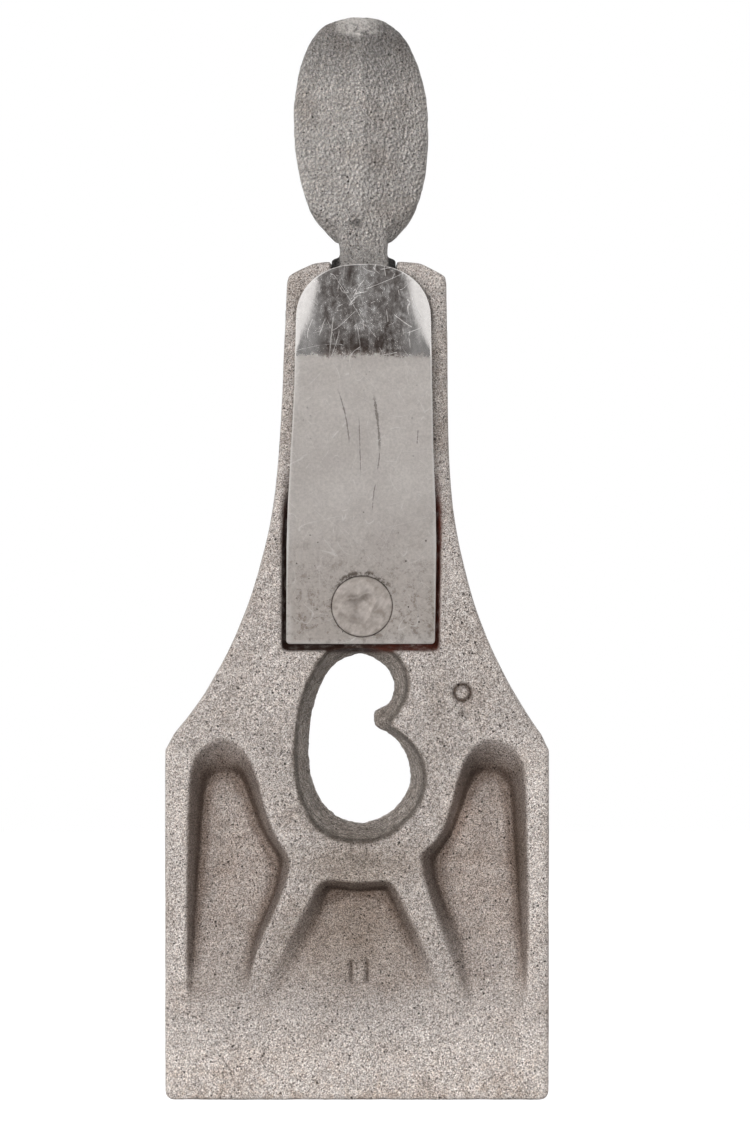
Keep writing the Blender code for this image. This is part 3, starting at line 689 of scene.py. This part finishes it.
def spring_plate(material):
    """The spring: a flat plate cut fine enough to bend along plate_y."""
    hole = arc((AXIS_X, RIVET_Z), RIVET_RADIUS + 0.03, 0, 355, 71)
    data = filled_curve("spring_leaf", [plate_shape(), hole], PLATE_THICK, 0.15)
    bm = bmesh.new()
    bm.from_mesh(data)
    bmesh.ops.remove_doubles(bm, verts=bm.verts, dist=1e-6)
    bmesh.ops.dissolve_limit(
        bm, angle_limit=math.radians(1), verts=bm.verts, edges=bm.edges,
        use_dissolve_boundaries=False
    )
    levels = [PLATE_LOW[2] + 2 * k for k in range(1, 18)]
    levels += [94 + 0.45 * k for k in range(1, 34)]
    cuts = [((0, level * MM, 0), (0, 1, 0)) for level in levels]
    cuts += [(((AXIS_X + 0.8 * k) * MM, 0, 0), (1, 0, 0)) for k in range(-11, 12)]
    for place, normal in cuts:
        everything = list(bm.verts) + list(bm.edges) + list(bm.faces)
        bmesh.ops.bisect_plane(bm, geom=everything, dist=1e-7, plane_co=place, plane_no=normal)
    outline = plate_shape()
    flat = np.array([(vert.co.x / MM, vert.co.y / MM) for vert in bm.verts])
    inset = -outline_distance(outline, flat[:, 0], flat[:, 1])
    for vert in bm.verts:
        x, z, depth = vert.co.x / MM, vert.co.y / MM, vert.co.z / MM
        vert.co = Vector((x, plate_y(x, z) + depth, z)) * MM
    bmesh.ops.recalc_face_normals(bm, faces=bm.faces)
    bm.to_mesh(data)
    bm.free()
    # painted highlight: this mask marks the plate's rounded edges, which are brightened in colour
    data.attributes.new("edge", "FLOAT", "POINT").data.foreach_set(
        "value", onset(0.2, inset, 0.08).astype(np.float32)
    )
    data.shade_smooth()
    data.set_sharp_from_angle(angle=math.radians(50))
    data.materials.clear()
    data.materials.append(material)
    return placed("spring_leaf", data)


def turned_disc(name, profile, sides, place, material, bumps=None):
    """A solid turned about Y from (radius, y) points, first and last on the axis."""
    points, faces = [], []
    rings = []
    for radius, y in profile:
        if radius == 0:
            rings.append([len(points)])
            points.append((0, y, 0))
            continue
        ring = []
        for k in range(sides):
            angle = 2 * math.pi * k / sides
            ring.append(len(points))
            points.append((radius * math.cos(angle), y, radius * math.sin(angle)))
        rings.append(ring)
    for a, b in zip(rings, rings[1:]):
        for k in range(sides):
            n = (k + 1) % sides
            if len(a) == 1:
                faces.append((a[0], b[n], b[k]))
            elif len(b) == 1:
                faces.append((a[k], a[n], b[0]))
            else:
                faces.append((a[k], a[n], b[n], b[k]))
    points = np.array(points)
    if bumps is not None:
        points[:, 1] += bumps(points)
    points += np.array(place)
    data = bpy.data.meshes.new(name)
    data.from_pydata((points * MM).tolist(), [], faces)
    data.validate()
    bm = bmesh.new()
    bm.from_mesh(data)
    bmesh.ops.recalc_face_normals(bm, faces=bm.faces)
    bm.to_mesh(data)
    bm.free()
    data.shade_smooth()
    data.set_sharp_from_angle(angle=math.radians(40))
    data.materials.append(material)
    return placed(name, data)


def rivet_crater(points):
    """The irregular peened hollow in the middle of the rivet's head."""
    x, y, z = points.T
    on_head = y < 0.2
    around = np.arctan2(z, x)
    radius = np.hypot(x + 0.25, z + 0.1)
    edge = 1.75 + 0.35 * np.sin(2 * around + 0.6) + 0.25 * np.sin(3 * around - 1.1)
    bowl = 0.34 * np.clip(1 - (radius / edge) ** 2, 0, 1)
    rim_shade_line = -0.1 * np.exp(-((radius - edge - 0.15) / 0.3) ** 2)
    ripple = 0.07 * np.sin(2.3 * x + 1) * np.sin(2.9 * z - 0.5)
    middle = 0.12 * np.exp(-(((x - 0.3) / 0.5) ** 2 + ((z + 0.8) / 0.35) ** 2))
    fade = onset(RIVET_RADIUS, np.hypot(x, z), 0.6)
    return np.where(on_head, (bowl + rim_shade_line + ripple - middle) * fade, 0)


def spring_rivet(material):
    """The flush rivet with its peened head."""
    head_y = plate_y(AXIS_X, RIVET_Z) - 0.6
    radius = RIVET_RADIUS - 0.02
    profile = [(0, 0)]
    profile += [(radius * k / 24, 0) for k in range(1, 23)]
    profile += [(radius - 0.1, 0.02), (radius - 0.03, 0.06), (radius, 0.16), (radius, 0.7), (2.1, 0.8)]
    length = FRONT - head_y
    profile += [(2.1, length - 0.9), (2.12, length - 0.25), (1.9, length - 0.02), (1.2, length)]
    profile += [(0.5, length - 0.06), (0, length - 0.08)]
    return turned_disc(
        "rivet", profile, 72, (AXIS_X, head_y, RIVET_Z), material, rivet_crater
    )


def lever_pin(material):
    """The pivot pin, turned to lie along X."""
    half = PIN_HIGH[0]
    radius = PIN_RADIUS
    profile = [(0, -half + 0.18), (0.3, -half + 0.05), (0.6, -half), (radius - 0.2, -half)]
    profile += [(radius, -half + 0.2), (radius, 0), (radius, half - 0.2), (radius - 0.2, half)]
    profile += [(0.6, half), (0.3, half - 0.05), (0, half - 0.18)]
    pin = turned_disc("hinge_pin", profile, 48, (0, 0, 0), material)
    turn = np.array([[0, 1, 0], [1, 0, 0], [0, 0, 1]], dtype=float)
    for vert in pin.data.vertices:
        x, y, z = turn @ np.array(vert.co)
        vert.co = Vector((x + SLOT_MIDDLE * MM, y + PIN_Y * MM, z + PIN_Z * MM))
    pin.data.flip_normals()
    return pin


# ---------------------------------------------------------------- materials

class Value:
    """What a node gives, with arithmetic that adds Math nodes."""

    def __init__(self, nodes, socket):
        self.nodes, self.socket = nodes, socket

    def __add__(self, other):
        return self.nodes.math("ADD", self, other)

    def __sub__(self, other):
        return self.nodes.math("SUBTRACT", self, other)

    def __rsub__(self, other):
        return self.nodes.math("SUBTRACT", other, self)

    def __mul__(self, other):
        return self.nodes.math("MULTIPLY", self, other)

    def __truediv__(self, other):
        return self.nodes.math("DIVIDE", self, other)

    def __abs__(self):
        return self.nodes.math("ABSOLUTE", self)


class Nodes:
    """A node tree built up from short calls."""

    def __init__(self, tree):
        self.tree = tree

    def put(self, socket, value):
        if isinstance(value, Value):
            self.tree.links.new(value.socket, socket)
        else:
            socket.default_value = value

    def node(self, kind, inputs=None, **settings):
        node = self.tree.nodes.new(kind)
        for key, value in settings.items():
            setattr(node, key, value)
        for key, value in (inputs or {}).items():
            self.put(node.inputs[key], value)
        return node

    def value(self, kind, output, inputs=None, **settings):
        return Value(self, self.node(kind, inputs, **settings).outputs[output])

    def math(self, operation, a, b=0):
        return self.value("ShaderNodeMath", "Value", {0: a, 1: b}, operation=operation)

    def steps(self, value, low, high, to_low=0, to_high=1):
        """Eases from to_low to to_high while the value goes from low to high."""
        return self.value("ShaderNodeMapRange", "Result", {
            "Value": value, "From Min": low, "From Max": high, "To Min": to_low, "To Max": to_high
        }, interpolation_type="SMOOTHSTEP")

    def either(self, factor, a, b):
        return self.value("ShaderNodeMixShader", "Shader", {"Fac": factor, 1: a, 2: b})


class Paint(Nodes):
    """A material whose colour is laid on coat by coat; sizes are in millimetres on the object."""

    def __init__(self, name, metallic, roughness):
        self.material = bpy.data.materials.new(name)
        self.material.use_nodes = True
        super().__init__(self.material.node_tree)
        self.shader = self.tree.nodes["Principled BSDF"]
        self.shader.inputs["Metallic"].default_value = metallic
        self.shader.inputs["Roughness"].default_value = roughness
        self.place = self.value("ShaderNodeTexCoord", "Object")
        self.colour = None

    def stretched(self, scale, turn=0):
        """Coordinates turned about Y, and then drawn out along the axes with a small scale."""
        return self.value("ShaderNodeMapping", "Vector", {
            "Vector": self.place, "Rotation": (0, turn, 0), "Scale": tuple(1 / v for v in scale)
        }, vector_type="TEXTURE")

    def shifted(self, place, offset):
        return self.value("ShaderNodeVectorMath", "Vector", {0: place, 1: offset}, operation="ADD")

    def noise(self, size, detail=2, roughness=0.5, place=None):
        return self.value("ShaderNodeTexNoise", "Fac", {
            "Vector": place or self.place, "Scale": 1 / (size * MM), "Detail": detail,
            "Roughness": roughness
        })

    def cells(self, size):
        inputs = {"Vector": self.place, "Scale": 1 / (size * MM)}
        return self.value("ShaderNodeTexVoronoi", "Distance", inputs, feature="F1")

    def most(self, a, b):
        return self.math("MAXIMUM", a, b)

    def mask(self, name):
        return self.value("ShaderNodeAttribute", "Fac", attribute_name=name)

    def axis(self, name):
        return self.value("ShaderNodeSeparateXYZ", name, {"Vector": self.place})

    def ramp(self, value, stops):
        node = self.node("ShaderNodeValToRGB", {"Fac": value})
        elements = node.color_ramp.elements
        while len(elements) < len(stops):
            elements.new(0.5)
        for element, (place, colour) in zip(elements, stops):
            element.position = place
            element.color = (*colour, 1)
        return Value(self, node.outputs["Color"])

    def mix(self, factor, a, b, mode="MIX"):
        a, b = (value if isinstance(value, Value) else (*value, 1) for value in (a, b))
        inputs = {"Factor": factor, "A": a, "B": b}
        return self.value("ShaderNodeMix", "Result", inputs, data_type="RGBA", blend_type=mode)

    def blend(self, factor, a, b):
        inputs = {"Factor": factor, "A": a, "B": b}
        return self.value("ShaderNodeMix", "Result", inputs, data_type="FLOAT")

    def coat(self, factor, colour):
        """Covers what is there as far as factor says."""
        self.colour = self.mix(factor, self.colour, colour)

    def tint(self, factor, colour):
        """Multiplies what is there by a colour, as far as factor says."""
        self.colour = self.mix(factor, self.colour, colour, "MULTIPLY")

    def stain(self, factor, colour):
        """Covers what is there with itself, tinted all the way."""
        self.coat(factor, self.mix(1, self.colour, colour, "MULTIPLY"))

    def rub(self, top, bottom, bow, width):
        """A dark rubbed line down the spring, bowed sideways between its two ends."""
        middle, half = (top[1] + bottom[1]) / 2 * MM, (top[1] - bottom[1]) / 2 * MM
        along = (self.axis("Z") - middle) / half
        lean = along * ((top[0] - bottom[0]) / 2 * MM)
        bend = (1 - along * along) * (bow * MM)
        off = abs(self.axis("X") - (lean + bend + (top[0] + bottom[0]) / 2 * MM))
        rough = self.noise(0.6, 3, 0.8) * (width * MM * 2.4)
        line = self.math("LESS_THAN", off, rough - width * 0.7 * MM)
        return line * self.steps(abs(along), 0.6, 1, 1, 0)

    def hairlines(self, size, drawn, turn, width, seed, share=0.5):
        """Thin curved scratches: where a broad noise crosses its middle, broken into lengths."""
        place = self.stretched((1, 1, drawn), turn)
        place = self.shifted(place, (seed * 0.013, seed * 0.029, seed * 0.007))
        line = self.steps(abs(self.noise(size, 0, 0.5, place) - 0.5), width * 0.4, width, 1, 0)
        return line * self.steps(self.noise(size * 0.45, 1, 0.5, place), share, share + 0.06)

    def all_hairlines(self, sets, over=0):
        """Several sets of scratches together, on top of others."""
        for each in sets:
            over = self.most(over, self.hairlines(*each))
        return over

    def finish(self, roughness, height, depth):
        """Joins up the shader, with a bump of a depth in millimetres."""
        normal = self.value(
            "ShaderNodeBump", "Normal", {"Strength": 1, "Distance": depth * MM, "Height": height}
        )
        for key, value in (("Base Color", self.colour), ("Roughness", roughness), ("Normal", normal)):
            self.put(self.shader.inputs[key], value)
        return self.material


def cast_iron(name, dark, middle, light, is_cap):
    """Grit-blasted grey iron: a fine bright and dark grain, dark pores and soft stains."""
    paint = Paint(name, 0.3, 0.6)
    grain = paint.noise(0.2, 3, 0.75)
    fine = paint.noise(0.105, 2, 0.7)
    spread = 0.097 if is_cap else 0.15
    stops = [(0.5 - spread, dark), (0.5, middle), (0.5 + spread, light)]
    paint.colour = paint.ramp(grain * 0.45 + fine * 0.55, stops)
    paint.tint(1, paint.steps(paint.noise(1.6, 4, 0.7), 0.3, 0.7, 0.9, 1.09))
    paint.tint(paint.steps(paint.noise(0.3, 2, 0.6), 0.42, 0.64, 0.1, 0.6), (1.03, 0.955, 0.895))
    paint.tint(paint.steps(paint.noise(6, 3, 0.55), 0.45, 0.75, 0, 0.5), (0.72, 0.66, 0.61))
    pores = paint.steps(paint.cells(1.2) + paint.noise(0.5, 3, 0.8) * 0.35, 0.25, 0.3, 1, 0)
    pores = pores * paint.steps(paint.noise(3), 0.43, 0.51)
    pepper = paint.steps(paint.cells(0.6) + fine * 0.35, 0.325, 0.375, 1, 0)
    pepper = pepper * paint.steps(paint.noise(1.6, 3), 0.38, 0.58, 0.35, 0.95)
    pores = paint.most(pores, pepper)
    paint.coat(pores, (0.06, 0.05, 0.045))
    roughness = paint.steps(grain, 0.3, 0.7, 0.66, 0.46)
    height = grain * 0.6 + fine * 0.4 - pores
    coats = casting_coats if is_cap else lever_coats
    roughness, height = coats(paint, roughness, height)
    return paint.finish(roughness, height, 0.2 if is_cap else 0.36)


def casting_coats(paint, roughness, height):
    """What lies on the casting's skin: its tones, a rusted gap beside the spring with painted shadow,
    painted shade in its pockets, walls, creases and keyhole, painted highlights on its ridges, and the
    ground faces of its front.
    """
    patchy = paint.steps(paint.noise(2.2, 3), 0.2, 0.7, 0.5, 1)
    tone_and_painted_light = paint.mask("tone_and_painted_light")
    paint.tint(1, tone_and_painted_light)
    paint.stain(paint.steps(tone_and_painted_light, 0.96, 0.62), (1, 0.945, 0.885))
    # painted shade in the pockets, patchy in strength
    paint.stain(paint.mask("pocket_depth_shade") * patchy, (0.85, 0.79, 0.75))
    # painted shade on the steep walls
    paint.stain(paint.mask("wall"), (0.455, 0.42, 0.40))
    # painted shade on the keyhole's walls, streaked
    seams = paint.noise(0.5, 3, 0.7, paint.stretched((0.35, 2.2, 0.35)))
    bore_wall_shade = paint.ramp(seams, [(0.36, (0.35, 0.335, 0.315)), (0.6, (0.82, 0.80, 0.77))])
    paint.stain(paint.mask("hole"), bore_wall_shade)
    # painted shade along the keyhole's rim
    rim_shade_line = paint.mask("rim_shade_line") * paint.steps(paint.noise(1.2, 3), 0.25, 0.5, 0.5, 1)
    paint.stain(rim_shade_line, (0.40, 0.375, 0.35))
    # painted shade in the hollows of the back
    crease_shade_and_ridge_highlight = paint.mask("crease_shade_and_ridge_highlight")
    paint.stain(paint.steps(crease_shade_and_ridge_highlight, 0.55, 0.95), (0.55, 0.50, 0.47))
    foot = paint.steps(paint.axis("Z"), 0.001, 0.009, 0.5, 0)
    paint.stain(foot * paint.steps(paint.noise(1.7, 5, 0.75), 0.5, 0.6), (0.70, 0.62, 0.55))
    scribe = paint.mask("scribe") * paint.steps(paint.noise(0.5, 2), 0.25, 0.4)
    paint.stain(scribe, (0.22, 0.18, 0.155))
    # painted highlights on the ridges of the back
    paint.stain(paint.steps(crease_shade_and_ridge_highlight, 0.46, 0.2, 0, 0.35), (1.25, 1.25, 1.25))
    # the rusted gap beside the spring, nearly black as painted shadow
    rust_and_gap_shadow = paint.mask("rust_and_gap_shadow") * paint.steps(paint.noise(1.3, 3), 0.25, 0.55, 0.6, 1)
    right_end = paint.steps(paint.axis("X"), 0, 0.006) * paint.noise(1.1, 3)
    paint.coat(rust_and_gap_shadow, paint.mix(right_end, (0.035, 0.016, 0.011), (0.16, 0.035, 0.02)))
    dressed = paint.mask("dressed")
    lines = paint.noise(0.3, 4, 0.75, paint.stretched((1, 0.02, 0.02)))
    paint.coat(dressed, paint.ramp(lines, [(0.3, (0.25, 0.24, 0.232)), (0.7, (0.43, 0.412, 0.40))]))
    return roughness - dressed * 0.16, height * (1 - dressed * 0.85)


def lever_coats(paint, roughness, height):
    """What lies on the lever's skin: a leathery pad with painted side light on its grain, and a rubbed
    tip.
    """
    # tones with painted light
    paint.tint(1, paint.mask("tone_and_painted_light"))
    place = paint.stretched((1, 1, 1))
    # painted light: the grain is shaded as if lit from the upper left, by taking a shifted copy of the
    # noise from itself
    leather = paint.noise(0.4, 2, 0.6, place)
    beside = paint.noise(0.4, 2, 0.6, paint.shifted(place, (0.0001, 0, -0.0001)))
    painted_side_light = paint.steps(leather - beside, -0.14, 0.14, 1.45, 0.58)
    paint.stain(paint.steps(paint.axis("Z"), 0.1095, 0.1135, 0.25, 0.9), painted_side_light)
    paint.stain(paint.steps(leather, 0.30, 0.46, 0.5, 0), (0.62, 0.60, 0.58))
    worn = paint.mask("worn") * paint.steps(paint.noise(0.9, 4), 0.3, 0.6)
    paint.coat(worn, paint.mix(0.75, paint.colour, (0.86, 0.81, 0.77)))
    return roughness - worn * 0.12, height + leather * 3.6


def spring_steel():
    """Worn satin steel: mottled by the rivet, with a few rubs, polished and scratched at its tip, with
    painted highlights on its edges and painted reflections on its tip.
    """
    paint = Paint("spring_steel", 0.85, 0.35)
    x, z = paint.axis("X"), paint.axis("Z")
    tip = paint.steps(z + (paint.noise(0.8, 4, 0.7) - 0.5) * 0.003, 0.0963, 0.0974)
    cloud = paint.noise(5, 4, 0.6)
    paint.colour = paint.ramp(cloud, [(0.3, (0.53, 0.487, 0.458)), (0.7, (0.625, 0.582, 0.55))])
    low = paint.steps(z, 0.060, 0.080, 1, 0)
    mottle = paint.steps(paint.noise(1.3, 6, 0.85), 0.48, 0.62)
    paint.coat(low * 0.4, (0.42, 0.36, 0.315))
    paint.coat(low * (mottle * 0.9), (0.25, 0.20, 0.17))
    pits = paint.steps(paint.cells(1.1) + paint.noise(0.5, 3) * 0.3, 0.21, 0.26, 1, 0)
    pits = pits * paint.steps(paint.noise(2.6), 0.47, 0.56) * paint.steps(z, 0.066, 0.088, 1, 0.3)
    paint.coat(pits, (0.05, 0.04, 0.03))
    from_x, from_z = x - AXIS_X * MM, z - RIVET_Z * MM
    reach = paint.math("SQRT", from_x * from_x + from_z * from_z) - (RIVET_RADIUS + 0.25) * MM
    caked = paint.steps(abs(reach), 0.0002, 0.0006, 1, 0) * paint.steps(from_z, 0.0015, 0.0034)
    caked = caked * paint.steps(paint.noise(1.3, 5, 0.8), 0.46, 0.56)
    paint.coat(caked * 0.75, (0.07, 0.05, 0.035))

    rubs = 0
    for top, bottom, bow, width in (
        ((-2.65, 92.8), (-1, 85), 0.35, 0.16), ((0.25, 89.2), (0.5, 80.8), 0, 0.12),
        ((2.1, 92.2), (3, 84), 0.15, 0.3), ((2.9, 84.5), (2.6, 81.8), 0.1, 0.13),
        ((2.45, 80.4), (2, 76.5), -0.1, 0.13), ((7.95, 87.3), (7.8, 85.2), 0, 0.12)
    ):
        rubs = paint.most(rubs, paint.rub(top, bottom, bow, width))
    paint.coat(rubs * 0.7, (0.20, 0.17, 0.15))

    # size, drawn, turn, width, seed, share
    scratches = paint.all_hairlines((
        (5, 0.5, 0.5, 0.0045, 1, 0.52), (4, 0.35, -0.8, 0.005, 2, 0.54),
        (6, 0.6, 1.3, 0.004, 3, 0.54), (3, 0.5, 0.1, 0.006, 4, 0.55),
        (2.6, 0.5, 0.9, 0.006, 9, 0.56), (3.4, 0.4, -0.4, 0.006, 8, 0.55)
    ))
    paint.tint(1, paint.steps(paint.noise(0.35, 4, 0.8), 0.3, 0.7, 0.88, 1.1))
    paint.coat(scratches * 0.24, (0.95, 0.93, 0.91))
    # painted highlight on the rounded edges
    edge, painted_edge_highlight = paint.mask("edge") * 0.42, (0.95, 0.93, 0.9)
    paint.coat(edge, painted_edge_highlight)

    cuts = paint.all_hairlines((
        (5, 0.3, 0.1, 0.0035, 5, 0.5), (4.4, 0.3, 1.25, 0.0035, 6, 0.5),
        (5.2, 0.4, -0.4, 0.0035, 7, 0.5)
    ), scratches)
    smear = paint.noise(1, 6, 0.75, paint.stretched((1, 1, 0.3))) * 0.5
    smear = smear + paint.noise(0.7, 6, 0.85) * 0.5
    streak = paint.steps(abs(x - 0.0009), 0, 0.0017, 0.05, 0) * paint.steps(z, 0.098, 0.101)
    smear = smear + streak - paint.steps(z, 0.097, 0.1015, 0.055, 0)
    # polished smears, darkened low on the tip; their darkest tones stand in for the dark reflection on
    # the tip
    polish_and_painted_reflection = paint.ramp(
        smear, [(0.4, (0.15, 0.115, 0.10)), (0.5, (0.47, 0.43, 0.41)), (0.6, (0.95, 0.92, 0.9))]
    )
    # painted reflection: the tip's shoulders brightened as if reflecting the side panels
    shoulder_shadow_and_glint = paint.steps(abs(x - 0.00084), 0.0045, 0.0068, 0, 0.8)
    polish_and_painted_reflection = paint.mix(shoulder_shadow_and_glint, polish_and_painted_reflection, (0.86, 0.83, 0.81))
    paint.coat(tip, paint.mix(edge, polish_and_painted_reflection, painted_edge_highlight))
    paint.coat(tip * (cuts * 0.5), (1, 0.98, 0.96))
    satin = paint.steps(paint.noise(1.2, 4, 0.65), 0.3, 0.7, 0.38, 0.5)
    polished = paint.steps(smear, 0.36, 0.62, 0.09, 0.24) + cuts * 0.45
    height = paint.noise(1.6, 4, 0.6) * 0.6 - pits * 1.5 - scratches * 0.4 - rubs * 0.6
    return paint.finish(paint.blend(tip, satin, polished), height, 0.03)


def plain_steel(name, base, stain):
    """Dull dressed steel with stains and fine dressing marks."""
    paint = Paint(name, 0.8, 0.42)
    paint.colour = paint.ramp(paint.noise(1.4, 4, 0.65), [(0.34, stain), (0.6, base)])
    marks = paint.noise(0.3, 3, 0.6, paint.stretched((1, 1, 0.2), 0.7))
    paint.coat(paint.steps(marks, 0.35, 0.7, 0.3, 0), stain)
    return paint.finish(paint.steps(marks, 0.3, 0.7, 0.5, 0.36), marks, 0.02)


# ---------------------------------------------------------------- the set

def pale_floor():
    """A round white floor, which the camera sees as bright as the surround."""
    data = bpy.data.meshes.new("floor")
    bm = bmesh.new()
    bmesh.ops.create_circle(bm, cap_ends=True, segments=96, radius=2)
    bm.to_mesh(data)
    bm.free()
    floor = placed("floor", data)
    floor.location = (0, 0, -0.0002)
    paint = Paint("floor_white", 0, 0.9)
    paint.shader.inputs["Base Color"].default_value = (0.5, 0.5, 0.5, 1)
    paint.shader.inputs["Specular IOR Level"].default_value = 0.1
    matt = Value(paint, paint.shader.outputs["BSDF"])
    glow = paint.value("ShaderNodeEmission", "Emission", {"Strength": 0.93})
    seen = paint.value("ShaderNodeAddShader", "Shader", {0: matt, 1: glow})
    by_camera = paint.value("ShaderNodeLightPath", "Is Camera Ray")
    paint.put(paint.tree.nodes["Material Output"].inputs["Surface"], paint.either(by_camera, matt, seen))
    data.materials.append(paint.material)


def area_light(name, place, target, width, height, power):
    """A rectangular light that faces its target."""
    data = bpy.data.lights.new(name, "AREA")
    data.shape = "RECTANGLE"
    data.size = width
    data.size_y = height
    data.energy = power
    light = placed(name, data)
    light.location = place
    light.rotation_euler = (Vector(target) - Vector(place)).to_track_quat("-Z", "Y").to_euler()
    return light


def surround():
    """A pale surround: white behind the object, and a studio's panels for what shines."""
    world = bpy.data.worlds.new("surround")
    bpy.context.scene.world = world
    world.use_nodes = True
    sky = Nodes(world.node_tree)

    def background(strength):
        return sky.value(
            "ShaderNodeBackground", "Background", {"Color": (1, 1, 1, 1), "Strength": strength}
        )

    place = sky.value("ShaderNodeTexCoord", "Generated")
    split = sky.node("ShaderNodeSeparateXYZ", {"Vector": place})
    x, y, z = (Value(sky, split.outputs[name]) for name in "XYZ")
    side = sky.steps(abs(x), 0.27, 0.40)
    front = sky.steps(y, 0.2, -0.2)
    above = sky.steps(z, 0.12, 0.26) * sky.steps(z, 0.97, 0.8)
    shade = (1 - side) * front * above
    shining = side * 0.14 + FRONT_GLOSS - shade * (FRONT_GLOSS - 0.1)

    glossy = sky.value("ShaderNodeLightPath", "Is Glossy Ray")
    seen = sky.value("ShaderNodeLightPath", "Is Camera Ray")
    lit = sky.either(glossy, background(AMBIENT), background(shining))
    lit = sky.either(seen, lit, background(1))
    sky.put(sky.tree.nodes["World Output"].inputs["Surface"], lit)


def soft_lights():
    """One broad light beside the camera, and weak ones round the rest."""
    middle = (0, 0, 0.07)
    lights = [
        area_light("front_light", (-0.15, -1.1, 0.12), middle, 0.7, 0.5, 15.5),
        area_light("key_light", (-1.05, -0.75, 0.3), middle, 0.22, 0.22, 7),
        area_light("left_light", (-1, 0.3, 0.4), middle, 0.5, 0.9, 2.5),
        area_light("right_light", (1, 0.1, 0.4), middle, 0.5, 0.9, 2),
        area_light("top_light", (0, 0.3, 1.2), middle, 1, 1, 3),
        area_light("back_light", (0.4, 1.2, 0.5), middle, 0.8, 0.8, 8),
    ]
    for light in lights:
        light.visible_glossy = False


def camera():
    """A long lens square to the cap's back, the cap a little left of and above the middle."""
    distance = 2
    frame_height = 146.25 * MM
    data = bpy.data.cameras.new("camera")
    data.sensor_fit = "VERTICAL"
    data.sensor_height = 24
    data.lens = data.sensor_height * distance / frame_height
    data.clip_start = 0.05
    data.clip_end = 20
    seat = placed("camera", data)
    seat.location = (2.34 * MM, -distance, 69.9 * MM)
    seat.rotation_euler = (math.radians(90), 0, 0)
    bpy.context.scene.camera = seat


# ---------------------------------------------------------------- putting it together

def build():
    """Makes each finished piece and hangs it on its CAD body."""
    iron = cast_iron("cast_iron", (0.11, 0.095, 0.085), (0.45, 0.405, 0.38), (0.88, 0.84, 0.81), True)
    lever_iron = cast_iron(
        "lever_iron", (0.18, 0.174, 0.168), (0.49, 0.465, 0.447), (0.86, 0.83, 0.81), False
    )
    made = [
        (casting(iron), "cap", "lever_cap", "cast_iron"),
        (cam_lever(lever_iron), "lever", "cam_lever", "lever_iron"),
        (spring_plate(spring_steel()), "spring", "spring_plate", "spring_steel"),
        (spring_rivet(plain_steel("rivet_steel", (0.62, 0.56, 0.52), (0.36, 0.31, 0.275))),
         "cap", "spring_rivet", "rivet_steel"),
        (lever_pin(plain_steel("pin_steel", (0.42, 0.4, 0.39), (0.2, 0.19, 0.18))),
         "cap", "lever_pin", "pin_steel"),
    ]
    for piece, body, node, slot in made:
        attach(piece, body)
        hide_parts(node)


pale_floor()
surround()
soft_lights()
camera()
bpy.context.scene.view_settings.view_transform = "Standard"
build()
